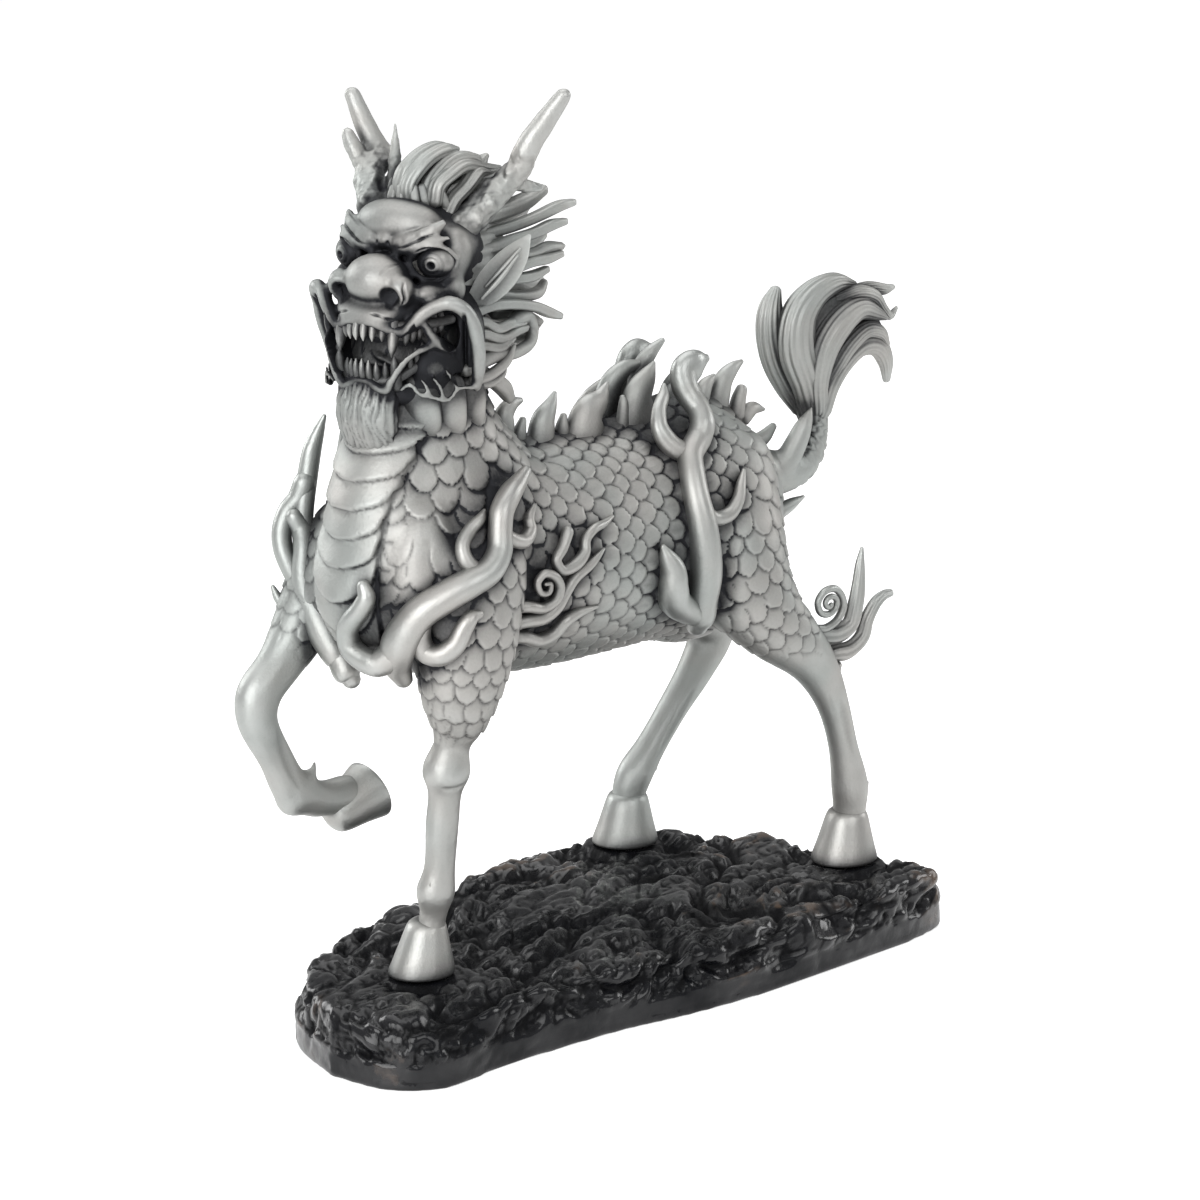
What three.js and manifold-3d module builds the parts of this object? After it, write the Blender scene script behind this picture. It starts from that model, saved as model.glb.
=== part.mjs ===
// A qilin on a rock: a pewter beast with a dragon's head, a horse's legs and
// flame locks, one forefoot raised, standing on a low dark rock.
// Millimetres, +Z up. The head points towards -X and the beast's left side,
// the one that shows, towards -Y. The origin is the centre of the underside.

import * as THREE from 'three';
import { mergeVertices } from 'three/addons/utils/BufferGeometryUtils.js';
import Module from 'manifold-3d';

const wasm = await Module();
wasm.setup();

// The beast, from its soles to the tips of its horns
const FIGURE_HEIGHT = 200;

// The rock
const ROCK_LENGTH = 190;
const ROCK_WIDTH = 90;
const ROCK_HEIGHT = 16;
const ROCK_BAND = 8;
const ROCK_SLOPE = 5;
const ROCK_ROUGHNESS = 1.6;
const ROCK_FACETS = 26;

// The soles stand this far above their pads, and a pad is wider than its hoof
const SOLE_GAP = 0.3;
const PAD_MARGIN = 1;

// Every pose number below is a two-hundredth of the beast's height
const SHARE = FIGURE_HEIGHT / 200;

// The head: where it sits on the neck, and how far it turns to the beast's left
const HEAD_PLACE = [-59, -3, 165.5];
const HEAD_TURN = THREE.MathUtils.degToRad(12);

// The raised hoof turns up and back by this much
const RAISED_HOOF_TILT = THREE.MathUtils.degToRad(24);

// Smooth plates down the chest
const CHEST_PLATES = 8;

// Where two forms meet, edges finer than this are smoothed away
const CARVING_FINENESS = 0.3;

// The hooves that stand: place, sole radius, coronet radius, height
const HOOVES = [
  { x: -56.5, y: -8, sole: 7.6, coronet: 4.9, height: 11 },
  { x: 72.5, y: -21, sole: 8.3, coronet: 5.6, height: 12 },
  { x: 43, y: 27, sole: 8.3, coronet: 5.6, height: 12 },
];

const pewter = () => new THREE.MeshStandardMaterial({ color: 0x9a9c9b, roughness: 0.38, metalness: 1 });
const darkStone = () => new THREE.MeshStandardMaterial({ color: 0x191a1c, roughness: 0.42, metalness: 0.1 });

// Closed forms

// A closed mesh from rings of equal length, with a pole at each end
function skinRings(rings, firstPole, lastPole) {
  const around = rings[0].length;
  const points = rings.flat();
  points.push(firstPole, lastPole);
  const first = points.length - 2;
  const last = points.length - 1;
  const faces = [];
  for (let i = 0; i < around; i += 1) {
    const j = (i + 1) % around;
    faces.push(first, j, i);
    for (let r = 0; r < rings.length - 1; r += 1) {
      const a = r * around;
      const b = a + around;
      faces.push(a + i, a + j, b + j, a + i, b + j, b + i);
    }
    const top = (rings.length - 1) * around;
    faces.push(last, top + i, top + j);
  }
  const geometry = new THREE.BufferGeometry().setFromPoints(points);
  geometry.setIndex(faces);
  return facingOut(geometry);
}

// Turns the faces of a closed mesh outward
function facingOut(geometry) {
  const place = geometry.attributes.position;
  const index = geometry.index.array;
  const corner = (k) => new THREE.Vector3().fromBufferAttribute(place, index[k]);
  let volume = 0;
  for (let f = 0; f < index.length; f += 3) {
    volume += corner(f).dot(corner(f + 1).cross(corner(f + 2)));
  }
  if (volume < 0) {
    for (let f = 0; f < index.length; f += 3) {
      [index[f + 1], index[f + 2]] = [index[f + 2], index[f + 1]];
    }
  }
  return geometry;
}

// A limb, lock or ribbon through stations [x, y, z, half width, half depth].
// The width lies along the side direction and the depth across it.
function sweep(stations, { around = 8, steps = 2, side = [0, 1, 0], cap = 0.35 } = {}) {
  const path = new THREE.CatmullRomCurve3(stations.map(([x, y, z]) => new THREE.Vector3(x, y, z)));
  const sizes = new THREE.CatmullRomCurve3(
    stations.map(([, , , w, d]) => new THREE.Vector3(w, d, 0)), false, 'catmullrom', 0.4);
  const count = (stations.length - 1) * steps;
  const sideways = new THREE.Vector3(...side);
  const rings = [];
  const ends = [];
  for (let s = 0; s <= count; s += 1) {
    const t = s / count;
    const centre = path.getPoint(t);
    const along = path.getTangent(t);
    const size = sizes.getPoint(t);
    const width = sideways.clone().addScaledVector(along, -along.dot(sideways)).normalize();
    const depth = along.clone().cross(width);
    const w = Math.max(size.x, 0.15);
    const d = Math.max(size.y, 0.15);
    rings.push(Array.from({ length: around }, (_, i) => {
      const turn = (2 * Math.PI * (i + 0.5)) / around;
      return centre.clone()
        .addScaledVector(width, w * Math.cos(turn))
        .addScaledVector(depth, d * Math.sin(turn));
    }));
    if (s === 0 || s === count) {
      const out = (s === 0 ? -1 : 1) * cap * Math.min(w, d);
      ends.push(centre.clone().addScaledVector(along, out));
    }
  }
  return skinRings(rings, ends[0], ends[1]);
}

// An egg-shaped mass
function egg([x, y, z], [rx, ry, rz], around = 12, rows = 8) {
  const geometry = new THREE.SphereGeometry(1, around, rows);
  geometry.rotateX(Math.PI / 2).scale(rx, ry, rz).translate(x, y, z);
  return geometry;
}

// The same form on the other side of the beast
function mirrored(geometry) {
  return facingOut(closed(geometry.clone().scale(1, -1, 1)));
}

function bothSides(geometries) {
  return [...geometries, ...geometries.map(mirrored)];
}

function closed(geometry) {
  geometry.deleteAttribute('normal');
  geometry.deleteAttribute('uv');
  return mergeVertices(geometry);
}

// Joining and cutting

function solid(geometry) {
  const whole = closed(geometry.clone());
  return new wasm.Manifold(new wasm.Mesh({
    numProp: 3,
    vertProperties: new Float32Array(whole.attributes.position.array),
    triVerts: new Uint32Array(whole.index.array),
    tolerance: CARVING_FINENESS,
  }));
}

function joined(geometries) {
  return geometries.map(solid).reduce((whole, piece) => whole.add(piece));
}

function meshOf(body, name, material) {
  const { vertProperties, triVerts } = body.getMesh();
  const geometry = new THREE.BufferGeometry();
  geometry.setAttribute('position', new THREE.BufferAttribute(vertProperties, 3));
  geometry.setIndex(new THREE.BufferAttribute(triVerts, 1));
  geometry.computeVertexNormals();
  const mesh = new THREE.Mesh(geometry, material);
  mesh.name = name;
  return mesh;
}

// The beast's body

function torso() {
  return [
    sweep([
      [-73, 2, 100, 6, 8], [-69.5, 1, 97.5, 15, 18.5], [-60, 0, 94, 23, 25.5], [-43, 0, 92, 25.6, 27.3],
      [-20, 0, 91, 25, 27.5], [3, 0, 89.5, 25, 28], [20, 0, 90, 24.3, 28.7], [33, 0, 91.5, 23.4, 30.5],
      [46, 0, 92.3, 22, 28], [57, 0, 94, 18, 21.5], [63.5, 0, 95.7, 11.5, 13], [65.8, 0, 96, 5, 6],
    ], { around: 12, steps: 1 }),
  ];
}

function neck() {
  return [
    sweep([
      [-38, 0, 94, 22, 24], [-45, 0, 110, 20, 25.5], [-48.6, 0, 122, 18, 20.6], [-50, 0, 134, 16, 16.8],
      [-50, -0.5, 147, 14, 15], [-47, -1, 160, 12, 13],
    ], { around: 10, steps: 1 }),
  ];
}

// The smooth plates down the throat and chest, one lapping the next
function chestPlates() {
  const middle = new THREE.CatmullRomCurve3([
    new THREE.Vector3(-65, -1.5, 135), new THREE.Vector3(-68, -0.5, 127), new THREE.Vector3(-71, 0.5, 117),
    new THREE.Vector3(-73, 1.5, 106), new THREE.Vector3(-73.6, 2, 96), new THREE.Vector3(-72, 2.5, 86),
    new THREE.Vector3(-67, 2.5, 77),
  ]);
  return Array.from({ length: CHEST_PLATES }, (_, i) => {
    const t = i / (CHEST_PLATES - 1);
    const { x, y, z } = middle.getPoint(t);
    const half = 10.5 + 2.5 * Math.sin(Math.PI * (0.25 + 0.6 * t));
    const back = 5.5 - 1.5 * t;
    const across = [-1, -0.4, 0.4, 1].map((s) => [
      x + back * s * s, y + half * s, z + 3 * s * s, 4.2 - 2 * s * s, 7 - 2.8 * s * s,
    ]);
    return sweep(across, { around: 4, steps: 1, side: [1, 0, 0.15] });
  });
}

// Legs, from the trunk down to the coronet

function leg(stations) {
  return sweep(stations, { around: 7, steps: 1 });
}

// The spur at the back of a fetlock
function spur([x, y, z], [dx, dz]) {
  return sweep([
    [x, y, z, 1.8, 1.8], [x + 0.7 * dx, y, z + 0.3 * dz, 1.5, 1.5], [x + dx, y, z + dz, 0.6, 0.6],
  ], { around: 4, steps: 1 });
}

function legs() {
  return [
    leg([
      [-40, -14, 108, 9, 11], [-47, -17.5, 96, 10.5, 14], [-52.5, -19, 83, 10, 13], [-54.2, -18, 69, 7.8, 9.6],
      [-54.8, -15.6, 55, 5.8, 5.9], [-54.2, -14, 43, 4.6, 4.8], [-53, -12.4, 29, 3.9, 4], [-54, -10.6, 17, 4.4, 4.6],
      [-56, -8.6, 6, 4, 4],
    ]),
    leg([
      [-44, 13, 104, 9, 12], [-55, 17, 97, 10, 13], [-65, 19, 88, 8.3, 10], [-73, 20, 79, 6.6, 7.6],
      [-80.4, 20, 70, 5.4, 5.8], [-81.6, 20, 60.5, 4.8, 5], [-75.8, 20, 44.5, 4, 4.2], [-70.6, 20, 37.6, 4.5, 4.7],
      [-60, 20, 35, 3.8, 3.8],
    ]),
    leg([
      [42, -10, 106, 9, 13], [38, -15, 92, 10.5, 15], [37.6, -19, 78, 9.8, 14.5], [44.5, -21.5, 67, 8.2, 11],
      [55.5, -22.8, 56.5, 5.9, 7], [64, -22.8, 43.5, 4.3, 4.6], [69.8, -22.2, 30, 3.9, 4],
      [73.2, -21.7, 17.5, 4.7, 4.9], [73, -21, 5, 4.4, 4.4],
    ]),
    leg([
      [46, 10, 104, 9, 14], [48, 15, 90, 10.5, 17], [56, 19, 74.5, 9.6, 13.4], [66, 22.6, 60, 7.6, 9.2],
      [70.6, 24.4, 49, 5.9, 6.2], [63.6, 25.2, 37.6, 4.7, 5], [51.6, 26, 25, 4.1, 4.3], [44.8, 26.6, 15.5, 4.8, 5],
      [43, 27, 5, 4.4, 4.4],
    ]),
    spur([-68, 20, 39], [3.4, 6]),
    spur([75, -21.7, 18], [5.6, 0.4]),
    spur([48, 26.2, 17.6], [6, -0.6]),
  ];
}

// A hoof turned on its own axis, its sole at the origin and its coronet above
function hoofBlank({ sole, coronet, height }) {
  const profile = [
    [0, 0], [sole, 0], [coronet, height], [0, height * 1.15],
  ].map(([r, h]) => new THREE.Vector2(r, h));
  return new THREE.LatheGeometry(profile, 10).rotateX(Math.PI / 2);
}

function hooves() {
  const standing = HOOVES.map((hoof) => hoofBlank(hoof).translate(hoof.x, hoof.y, 0));
  const raised = hoofBlank({ ...HOOVES[0], height: 12.5 })
    .rotateY(-Math.PI / 2 - RAISED_HOOF_TILT)
    .translate(-49, 20, 36);
  return [...standing, raised];
}

// The head, laid out forward, left and up from a point between the eyes

// A ridge whose two halves match, from the middle of the muzzle outward
function muzzleRidge(half, around) {
  const far = half.slice(1).reverse().map(([x, y, z, w, d]) => [x, -y, z, w, d]);
  return sweep([...far, ...half], { around, steps: 1, side: [0.2, 0.1, 1] });
}

function skull() {
  return [
    egg([-11, 0, 1], [12, 15.8, 12.8], 10, 6),
    egg([-12, 0, -13], [11.8, 16.6, 16.4], 10, 6),
    sweep([
      [-14, 0, -6, 16, 9], [-4, 0, -5.5, 14, 8.5], [3, 0, -7, 12.4, 7.4], [8, 0, -9, 10.6, 5.2],
      [12, 0, -10.8, 7.6, 3.2],
    ], { around: 8, steps: 1 }),
    ...bothSides([egg([-7, 16.6, -17], [4.6, 5.2, 10], 6, 4), egg([-9, 15, -1], [5, 3.6, 8], 6, 4)]),
  ];
}

function brows() {
  return bothSides([
    sweep([
      [0.6, 1.2, 3.4, 2.8, 2.4], [0.2, 5.4, 4, 2.9, 2.4], [-1.8, 10.8, 6.8, 3.1, 2.7], [-6.4, 16.4, 5.8, 2, 1.8],
    ], { around: 5, steps: 1, side: [1, 0, 0] }),
  ]);
}

function eyes() {
  return bothSides([
    egg([-2.2, 10.4, 0], [4, 4.1, 4], 7, 5),
    sweep([
      [0.8, 6.2, -0.6, 1.1, 1.1], [0.6, 8.6, -3.6, 1.2, 1.2], [-1.6, 12.6, -4, 1.2, 1.2], [-5, 14.8, -0.6, 1, 1],
    ], { around: 4, steps: 1, side: [1, 0, 0] }),
    sweep([
      [1.2, 6, 0.2, 1, 1], [1, 9.4, 2.8, 1.3, 1.2], [-1.6, 12.8, 3.4, 1.2, 1.2], [-5, 15, 0.8, 1, 1],
    ], { around: 4, steps: 1, side: [1, 0, 0] }),
  ]);
}

function nose() {
  return [
    egg([5, 0, -3.4], [5.9, 6.8, 5], 8, 6),
    sweep([[-3, 0, 1.6, 3, 2.4], [1.5, 0, 0.6, 3.2, 2.6], [5, 0, -1.6, 3.6, 3]], { around: 5, steps: 1 }),
    ...bothSides([egg([6.2, 7.6, -4.8], [3.8, 3.6, 3.2], 7, 4)]),
  ];
}

function nostrils() {
  return bothSides([egg([9.2, 7.8, -4.6], [2.8, 1.8, 1.6], 6, 4)]);
}

// The thick lip that runs round the muzzle, rises, and hoops out over the cheek
function upperLip() {
  return [muzzleRidge([
    [13, 0, -11.4, 2, 2], [11.6, 5.6, -12, 2, 2], [7.8, 10, -13.6, 1.9, 1.9], [4, 13.6, -11.6, 1.9, 1.9],
    [0.4, 17.6, -8.8, 1.9, 1.9], [-3, 20.4, -11.8, 2.1, 2.1], [-5, 20.4, -18.6, 2.1, 2.1], [-8.6, 17.6, -27, 1.8, 1.8],
  ], 5)];
}

function lowerJaw() {
  return [
    sweep([
      [-14, 0, -28, 15.4, 7], [-6, 0, -28.6, 15.4, 5.6], [2, 0, -28.8, 13.4, 4.4], [8, 0, -28.2, 10, 3.6],
      [11.8, 0, -27, 6, 2.4],
    ], { around: 8, steps: 1 }),
    muzzleRidge([
      [12.4, 0, -25, 1.4, 1.4], [10.8, 6.4, -24.6, 1.4, 1.4], [6.6, 11.2, -22, 1.4, 1.4], [1.4, 14.6, -17.6, 1.4, 1.4],
    ], 4),
    egg([-5, 0, -23], [7, 12, 5], 8, 4),
    sweep([[-3, 0, -22, 4.4, 2.2], [3, 0, -22, 4.4, 1.8], [7.6, 0, -23.4, 3, 1.4]], { around: 5, steps: 1 }),
  ];
}

// One pointed tooth from its root, growing down or up
function tooth([x, y, z], length, radius) {
  const ring = Array.from({ length: 4 }, (_, i) => (
    new THREE.Vector3(x + radius * Math.cos(i * Math.PI / 2), y + radius * Math.sin(i * Math.PI / 2), z)
  ));
  const root = new THREE.Vector3(x - 1, y * 0.96, z - Math.sign(length) * 2);
  return skinRings([ring], root, new THREE.Vector3(x, y, z + length));
}

function teeth() {
  const front = [-4.4, -1.5, 1.5, 4.4].flatMap((y) => {
    const x = 11.4 - 0.07 * y * y;
    return [tooth([x, y, -13], -3, 1.3), tooth([x - 0.6, y, -25], 3.8, 1.2)];
  });
  const side = bothSides([
    tooth([9, 7.6, -14], -5.8, 1.6), tooth([8.2, 8.6, -24.4], 5, 1.5), tooth([4.6, 11.6, -14.4], -3.2, 1.5),
  ]);
  return [...front, ...side];
}

function beard() {
  const chin = sweep([
    [8, 0, -26, 8, 3.6], [9.6, 0, -30.4, 7, 3.6], [7.4, 0.4, -35.6, 4.6, 3.6], [3, 1, -41, 1.4, 1.6],
  ], { around: 6, steps: 1 });
  const underJaw = bothSides([
    sweep([[-1, 11, -28, 5.4, 3.6], [-3, 12.4, -34, 3.8, 2.8], [-8, 12.6, -39, 0.7, 0.7]], { around: 5, steps: 1 }),
  ]);
  return [chin, ...underJaw];
}

// A leaf-shaped ear with its hollow turned forward
function ear() {
  return sweep([
    [-9, 12, -9, 1.8, 2.6], [-12.6, 17.4, -6, 1.9, 4], [-16.2, 20.8, -1.4, 1.6, 3.9], [-19.4, 23.2, 3.6, 0.5, 0.7],
  ], { around: 6, steps: 1, side: [0.75, 0.66, 0] });
}

function earHollow() {
  return sweep([
    [-10.6, 16.6, -6.6, 0.6, 1.2], [-12.4, 19.2, -5, 1.2, 2.6], [-15.4, 22, -1.6, 1.1, 2.6], [-17.8, 24, 2, 0.4, 0.5],
  ], { around: 4, steps: 1, side: [0.75, 0.66, 0] });
}

// The horns, knobbly below and smooth at the tips; they don't quite match
function horns() {
  const near = [
    [-12, 10.6, 6, 4.4, 4.6], [-15.2, 13.4, 11.6, 4.2, 4.3], [-19.6, 16.8, 17.6, 3.7, 3.8], [-21, 19.6, 23.4, 3.3, 3.4],
    [-24.4, 23, 29.6, 2.7, 2.8], [-27.8, 26, 35, 1.9, 1.9],
  ];
  const far = [
    [-10, -10.6, 7, 4.4, 4.6], [-11, -13.2, 12.8, 4.1, 4.2], [-13.4, -16.4, 18.2, 3.7, 3.8], [-16.6, -19.2, 22.8, 3, 3],
    [-18.9, -23, 28, 2.5, 2.5], [-20.7, -26, 32, 1.8, 1.8],
  ];
  const knobs = (stations) => [1, 2].map((i) => {
    const [x, y, z, w] = stations[i];
    const out = i % 2 ? 1.6 : -1.4;
    return egg([x + out, y + out * Math.sign(y), z], [w * 0.75, w * 0.75, w * 0.6], 5, 4);
  });
  return [
    sweep(near, { around: 6, steps: 1 }),
    sweep(far, { around: 6, steps: 1 }),
    ...knobs(near),
    ...knobs(far).slice(1),
    sweep([[-12, -14.6, 16, 3, 3], [-11.6, -17.6, 21.4, 2.4, 2.4], [-11.6, -20, 26, 1.5, 1.5]], { around: 5, steps: 1 }),
    sweep([[-12, -9, 9, 3.4, 3], [-14.6, -10, 18, 2.2, 2], [-19.6, -13.4, 26.6, 0.7, 0.7]], { around: 5, steps: 1 }),
    sweep([[-20, 16, 16, 2, 2], [-29.4, 18, 17.8, 1, 1]], { around: 4, steps: 1 }),
  ];
}

function whiskers() {
  return bothSides([
    sweep([
      [-9, 15, -23.4, 2, 2], [-16, 17, -22.6, 1.9, 1.8], [-24, 18, -22.8, 1.7, 1.7], [-29.4, 17.2, -20, 1.8, 1.8],
      [-28, 17, -16, 2, 2], [-24.6, 17.2, -15.6, 2.1, 2],
    ], { around: 5, steps: 1 }),
  ]);
}

// Locks that stream back from behind the horns and cheeks
function mane() {
  const rows = [
    { from: 8, out: 12.6, tip: 14, reach: 45, lift: 2.5 },
    { from: 2.4, out: 14.4, tip: 16.4, reach: 43.5, lift: 2.6 },
    { from: -5, out: 14.8, tip: 15.4, reach: 42.5, lift: 4 },
    { from: -14, out: 13.8, tip: 12.6, reach: 43.5, lift: -3 },
  ];
  const sides = rows.map(({ from, out, tip, reach, lift }) => sweep([
    [-14, out - 2, from, 3.4, 5.2], [-28, out + 1.4, from - 1.4, 3.2, 4.4], [-reach, tip, from + lift, 0.5, 0.6],
  ], { around: 4, steps: 1 }));
  const back = [[0, 2], [0, -11]].map(([y, z]) => sweep([
    [-26, y, z, 9, 7], [-36, y, z - 2, 5.4, 4.4], [-42, y, z - 2, 0.7, 0.7],
  ], { around: 4, steps: 1 }));
  return [egg([-20, 0, -3], [13.4, 15.4, 16.4], 8, 6), ...bothSides(sides), ...back];
}

// The tuft between the horns, combed back
function topLocks() {
  const rows = [[-5, 6.4, 8], [0.6, 8.4, 11], [6.4, 6.4, 15]];
  return [egg([-14.6, 0, 10], [9, 11.6, 8], 8, 5), ...rows.map(([y, high, back]) => sweep([
    [-9, y, 9.6, 4, 3], [-11.6, y, 10 + high * 0.8, 4, 3], [-17.6, y + 0.8, 12 + high, 3.8, 2.6],
    [-17 - back, y + 2.2, 13 + high, 0.5, 0.5],
  ], { around: 4, steps: 1 }))];
}

function headInPlace() {
  const place = new THREE.Matrix4().makeRotationZ(Math.PI + HEAD_TURN).setPosition(...HEAD_PLACE);
  return joined([
    ...skull(), ...brows(), ...eyes(), ...nose(), ...upperLip(), ...lowerJaw(), ...teeth(), ...beard(),
    ...bothSides([ear()]), ...horns(), ...whiskers(), ...mane(), ...topLocks(),
  ]).subtract(joined([...nostrils(), ...bothSides([earHollow()])])).transform(place.elements);
}

// Fins down the back: foot, tip, half length at the foot
function fins() {
  const rows = [
    [-22, 118, -17, 125, 4.6], [-12, 117, -6, 126, 4.6], [2, 116, 11, 125.6, 5], [13, 118, 18, 130, 4.4],
    [18, 120, 27, 134.6, 5.6], [46, 120, 54, 125, 4.8], [56, 113, 63, 118, 4.4],
  ];
  return rows.map(([x, z, tipX, tipZ, foot]) => sweep([
    [x - 1, 0, z - 4, 3.2, foot], [x + (tipX - x) * 0.2, 0, z + (tipZ - z) * 0.5, 2.4, foot * 0.86],
    [tipX, 0, tipZ, 0.5, 0.5],
  ], { around: 4, steps: 1 }));
}

function tail() {
  const locks = [
    [[76, 0, 118, 4, 4.4], [69.6, -2, 128, 4, 4.4], [66, -3, 137, 3.4, 3.6], [68, -3, 144, 0.8, 0.9]],
    [[77, 0, 118, 4, 4.4], [73, 2, 131, 4, 5], [76, 2, 139, 3.6, 4], [85, 1, 144, 0.8, 1]],
    [[77, 0, 118, 4, 4.4], [76, -2.6, 131, 4, 4.6], [84, -3.4, 138.6, 3.4, 3.8], [96, -2.6, 141, 0.8, 0.9]],
    [[77, 0, 118, 4, 4.2], [80, 2.4, 130, 4, 4.4], [90, 3.4, 135, 3.2, 3.6], [104, 2, 136.6, 0.8, 0.8]],
    [[78, 0, 118, 3.6, 4], [83, -2.4, 126, 3.6, 4], [94, -3.4, 132, 3, 3.4], [104, -2.6, 130, 2.2, 2.4], [110, -2, 123, 0.6, 0.6]],
    [[78, 0, 118, 3.4, 3.6], [84, 1.6, 124, 3.4, 3.6], [94, 2.6, 128, 2.8, 3], [104, 2, 122, 1.8, 2], [107.6, 1, 114, 0.6, 0.6]],
  ];
  return [
    sweep([
      [56, 0, 98, 7, 7], [68, 0, 97, 5.4, 5.8], [76, 0, 100.4, 4.7, 4.8], [80.4, 0, 108, 4.4, 4.4],
      [78.6, 0, 117, 4, 4], [75, 0, 126, 3.6, 3.8],
    ], { around: 7, steps: 1 }),
    sweep([[60, -3, 101, 3.4, 3.8], [68, -4, 104.6, 3, 3.6], [75.4, -4.6, 113, 0.5, 0.5]], { around: 4, steps: 1 }),
    ...locks.map((lock) => sweep(lock, { around: 4, steps: 1 })),
  ];
}

// Flame ribbons: each lies on the body, ridged, its width in the body's surface
function ribbon(stations) {
  return sweep(stations, { around: 4, steps: 1 });
}

function shoulderFlames() {
  const near = [
    ribbon([
      [-62, -10, 68, 3, 2.6], [-69, -14, 80, 3.4, 3.4], [-68.6, -19, 87, 3.4, 3.4], [-61, -26, 96.4, 3.4, 3.4],
      [-54, -28.6, 100.4, 3.2, 3.2], [-51, -29, 108, 3, 3], [-49.4, -28.6, 114, 2.4, 2.2], [-42, -27, 118.4, 0.6, 0.6],
    ]),
    ribbon([[-69, -15, 82, 3, 2.8], [-73.4, -9, 78, 3, 2.8], [-76, -5.6, 84, 2.8, 2.4], [-72.6, -6, 93, 0.7, 0.7]]),
    ribbon([[-55, -28, 98.6, 2.8, 2.8], [-61, -28.4, 102.6, 2.8, 2.6], [-59, -28.6, 108.6, 2.4, 2.2], [-55, -28.6, 113, 0.6, 0.6]]),
    ribbon([[-52, -29, 106, 2.8, 2.6], [-46, -30, 104.6, 2.6, 2.6], [-43.4, -30, 108.6, 2.2, 2], [-41, -29, 112, 0.5, 0.5]]),
    ribbon([[-66, -21, 91, 2.8, 2.8], [-69, -22, 83.6, 2.8, 2.8], [-65, -26, 80.4, 2.8, 2.6], [-61.6, -28, 86, 2.2, 2.2], [-58, -28, 91, 0.5, 0.5]]),
  ];
  const far = [
    ribbon([
      [-62, 9, 68, 3, 2.8], [-66, 13, 77, 3.2, 3.2], [-67.6, 18.6, 88, 3.2, 3], [-66, 23, 98, 3, 2.8],
      [-62, 24.4, 110, 2.6, 2.4], [-58, 22, 125, 0.5, 0.6],
    ]),
    ribbon([[-66, 22, 92, 2.8, 2.6], [-68, 25.4, 99, 2.6, 2.4], [-62, 26, 110, 0.5, 0.5]]),
    ribbon([[-65, 21, 84, 2.8, 2.6], [-71.6, 25.6, 89, 0.5, 0.5]]),
  ];
  return [...near, ...far];
}

// Flames behind the elbow: a curl with three tongues
function flankFlames() {
  const curl = ribbon([
    [-35, -25, 96, 2.4, 2], [-33, -25, 89.6, 2.4, 2], [-39, -25, 87.6, 2.6, 2.2], [-42.6, -25.4, 93, 2.8, 2.2],
    [-39, -25.8, 99, 2.8, 2.4], [-32, -26, 99.4, 2.4, 2.2], [-26, -26, 96.4, 2.4, 2.2], [-22, -26, 101, 2, 2],
    [-14.4, -25.6, 103.6, 0.5, 0.5],
  ]);
  const tongues = [
    ribbon([[-46, -23, 83, 2.8, 2.8], [-38, -24.6, 84, 2.8, 2.8], [-29, -25.6, 88, 2.4, 2.4], [-17.6, -26, 97, 0.5, 0.5]]),
    ribbon([[-44, -22, 77.6, 2.6, 2.4], [-35, -24, 78.6, 2.6, 2.6], [-19, -25, 83, 0.5, 0.5]]),
  ];
  return [curl, ...bothSides(tongues)];
}

// Flames that climb the haunch, fewer on the side turned away
function haunchFlames() {
  const climbing = ribbon([
    [17, -20.6, 70, 3, 3.2], [14.6, -24, 82, 3.4, 3.8], [13, -25.4, 94, 3.2, 3.2], [11.6, -24.6, 104, 3, 3],
    [13, -22, 112, 3.2, 3.2], [20, -15.6, 119, 3, 3], [27, -8.4, 125, 2.4, 2.4], [38, -4.6, 130, 0.6, 0.6],
  ]);
  const hook = ribbon([[13, -24.6, 101, 2.8, 2.8], [19, -26, 98.4, 2.8, 2.8], [26.6, -25.4, 100.6, 2.4, 2.4], [31, -24, 108, 0.5, 0.5]]);
  const near = [
    ribbon([[13, -21, 112, 2.8, 2.8], [12.4, -15.6, 119, 2.6, 2.6], [19.6, -9, 127.6, 0.6, 0.6]]),
    ribbon([[15.4, -23, 76, 3, 2.8], [8, -25, 78.6, 3, 2.8], [3, -25.4, 85, 2.6, 2.4], [3, -25.6, 93, 0.7, 0.7]]),
  ];
  return [...near, ...bothSides([climbing, hook])];
}

// A curl and a tongue behind the near hock, a tongue behind the far one
function hockFlames() {
  const near = [
    ribbon([
      [64, -23, 68.6, 2, 1.8], [58.6, -23, 70.4, 2.2, 2], [56.8, -23, 65, 2.4, 2.2], [62, -23, 61.6, 2.4, 2.4],
      [67.6, -23.4, 65, 2.4, 2.4], [70, -24, 73, 2, 2], [73.4, -24, 82.4, 0.5, 0.5],
    ]),
    ribbon([[60, -23, 50, 2.6, 2.8], [71, -23.4, 55, 2.4, 3.2], [77.6, -24, 61, 1.8, 2.2], [84, -24, 67, 0.5, 0.5]]),
  ];
  const far = mirrored(near[1]).translate(10, 1, 0);
  return [...near, far];
}

function qilin() {
  const body = joined([
    ...torso(), ...neck(), ...chestPlates(), ...legs(), ...hooves(), ...fins(), ...tail(),
    ...shoulderFlames(), ...flankFlames(), ...haunchFlames(), ...hockFlames(),
  ]);
  const whole = body.add(headInPlace()).scale(SHARE).translate(0, 0, ROCK_HEIGHT + SOLE_GAP);
  return meshOf(whole, 'qilin', pewter());
}

// The rock

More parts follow.
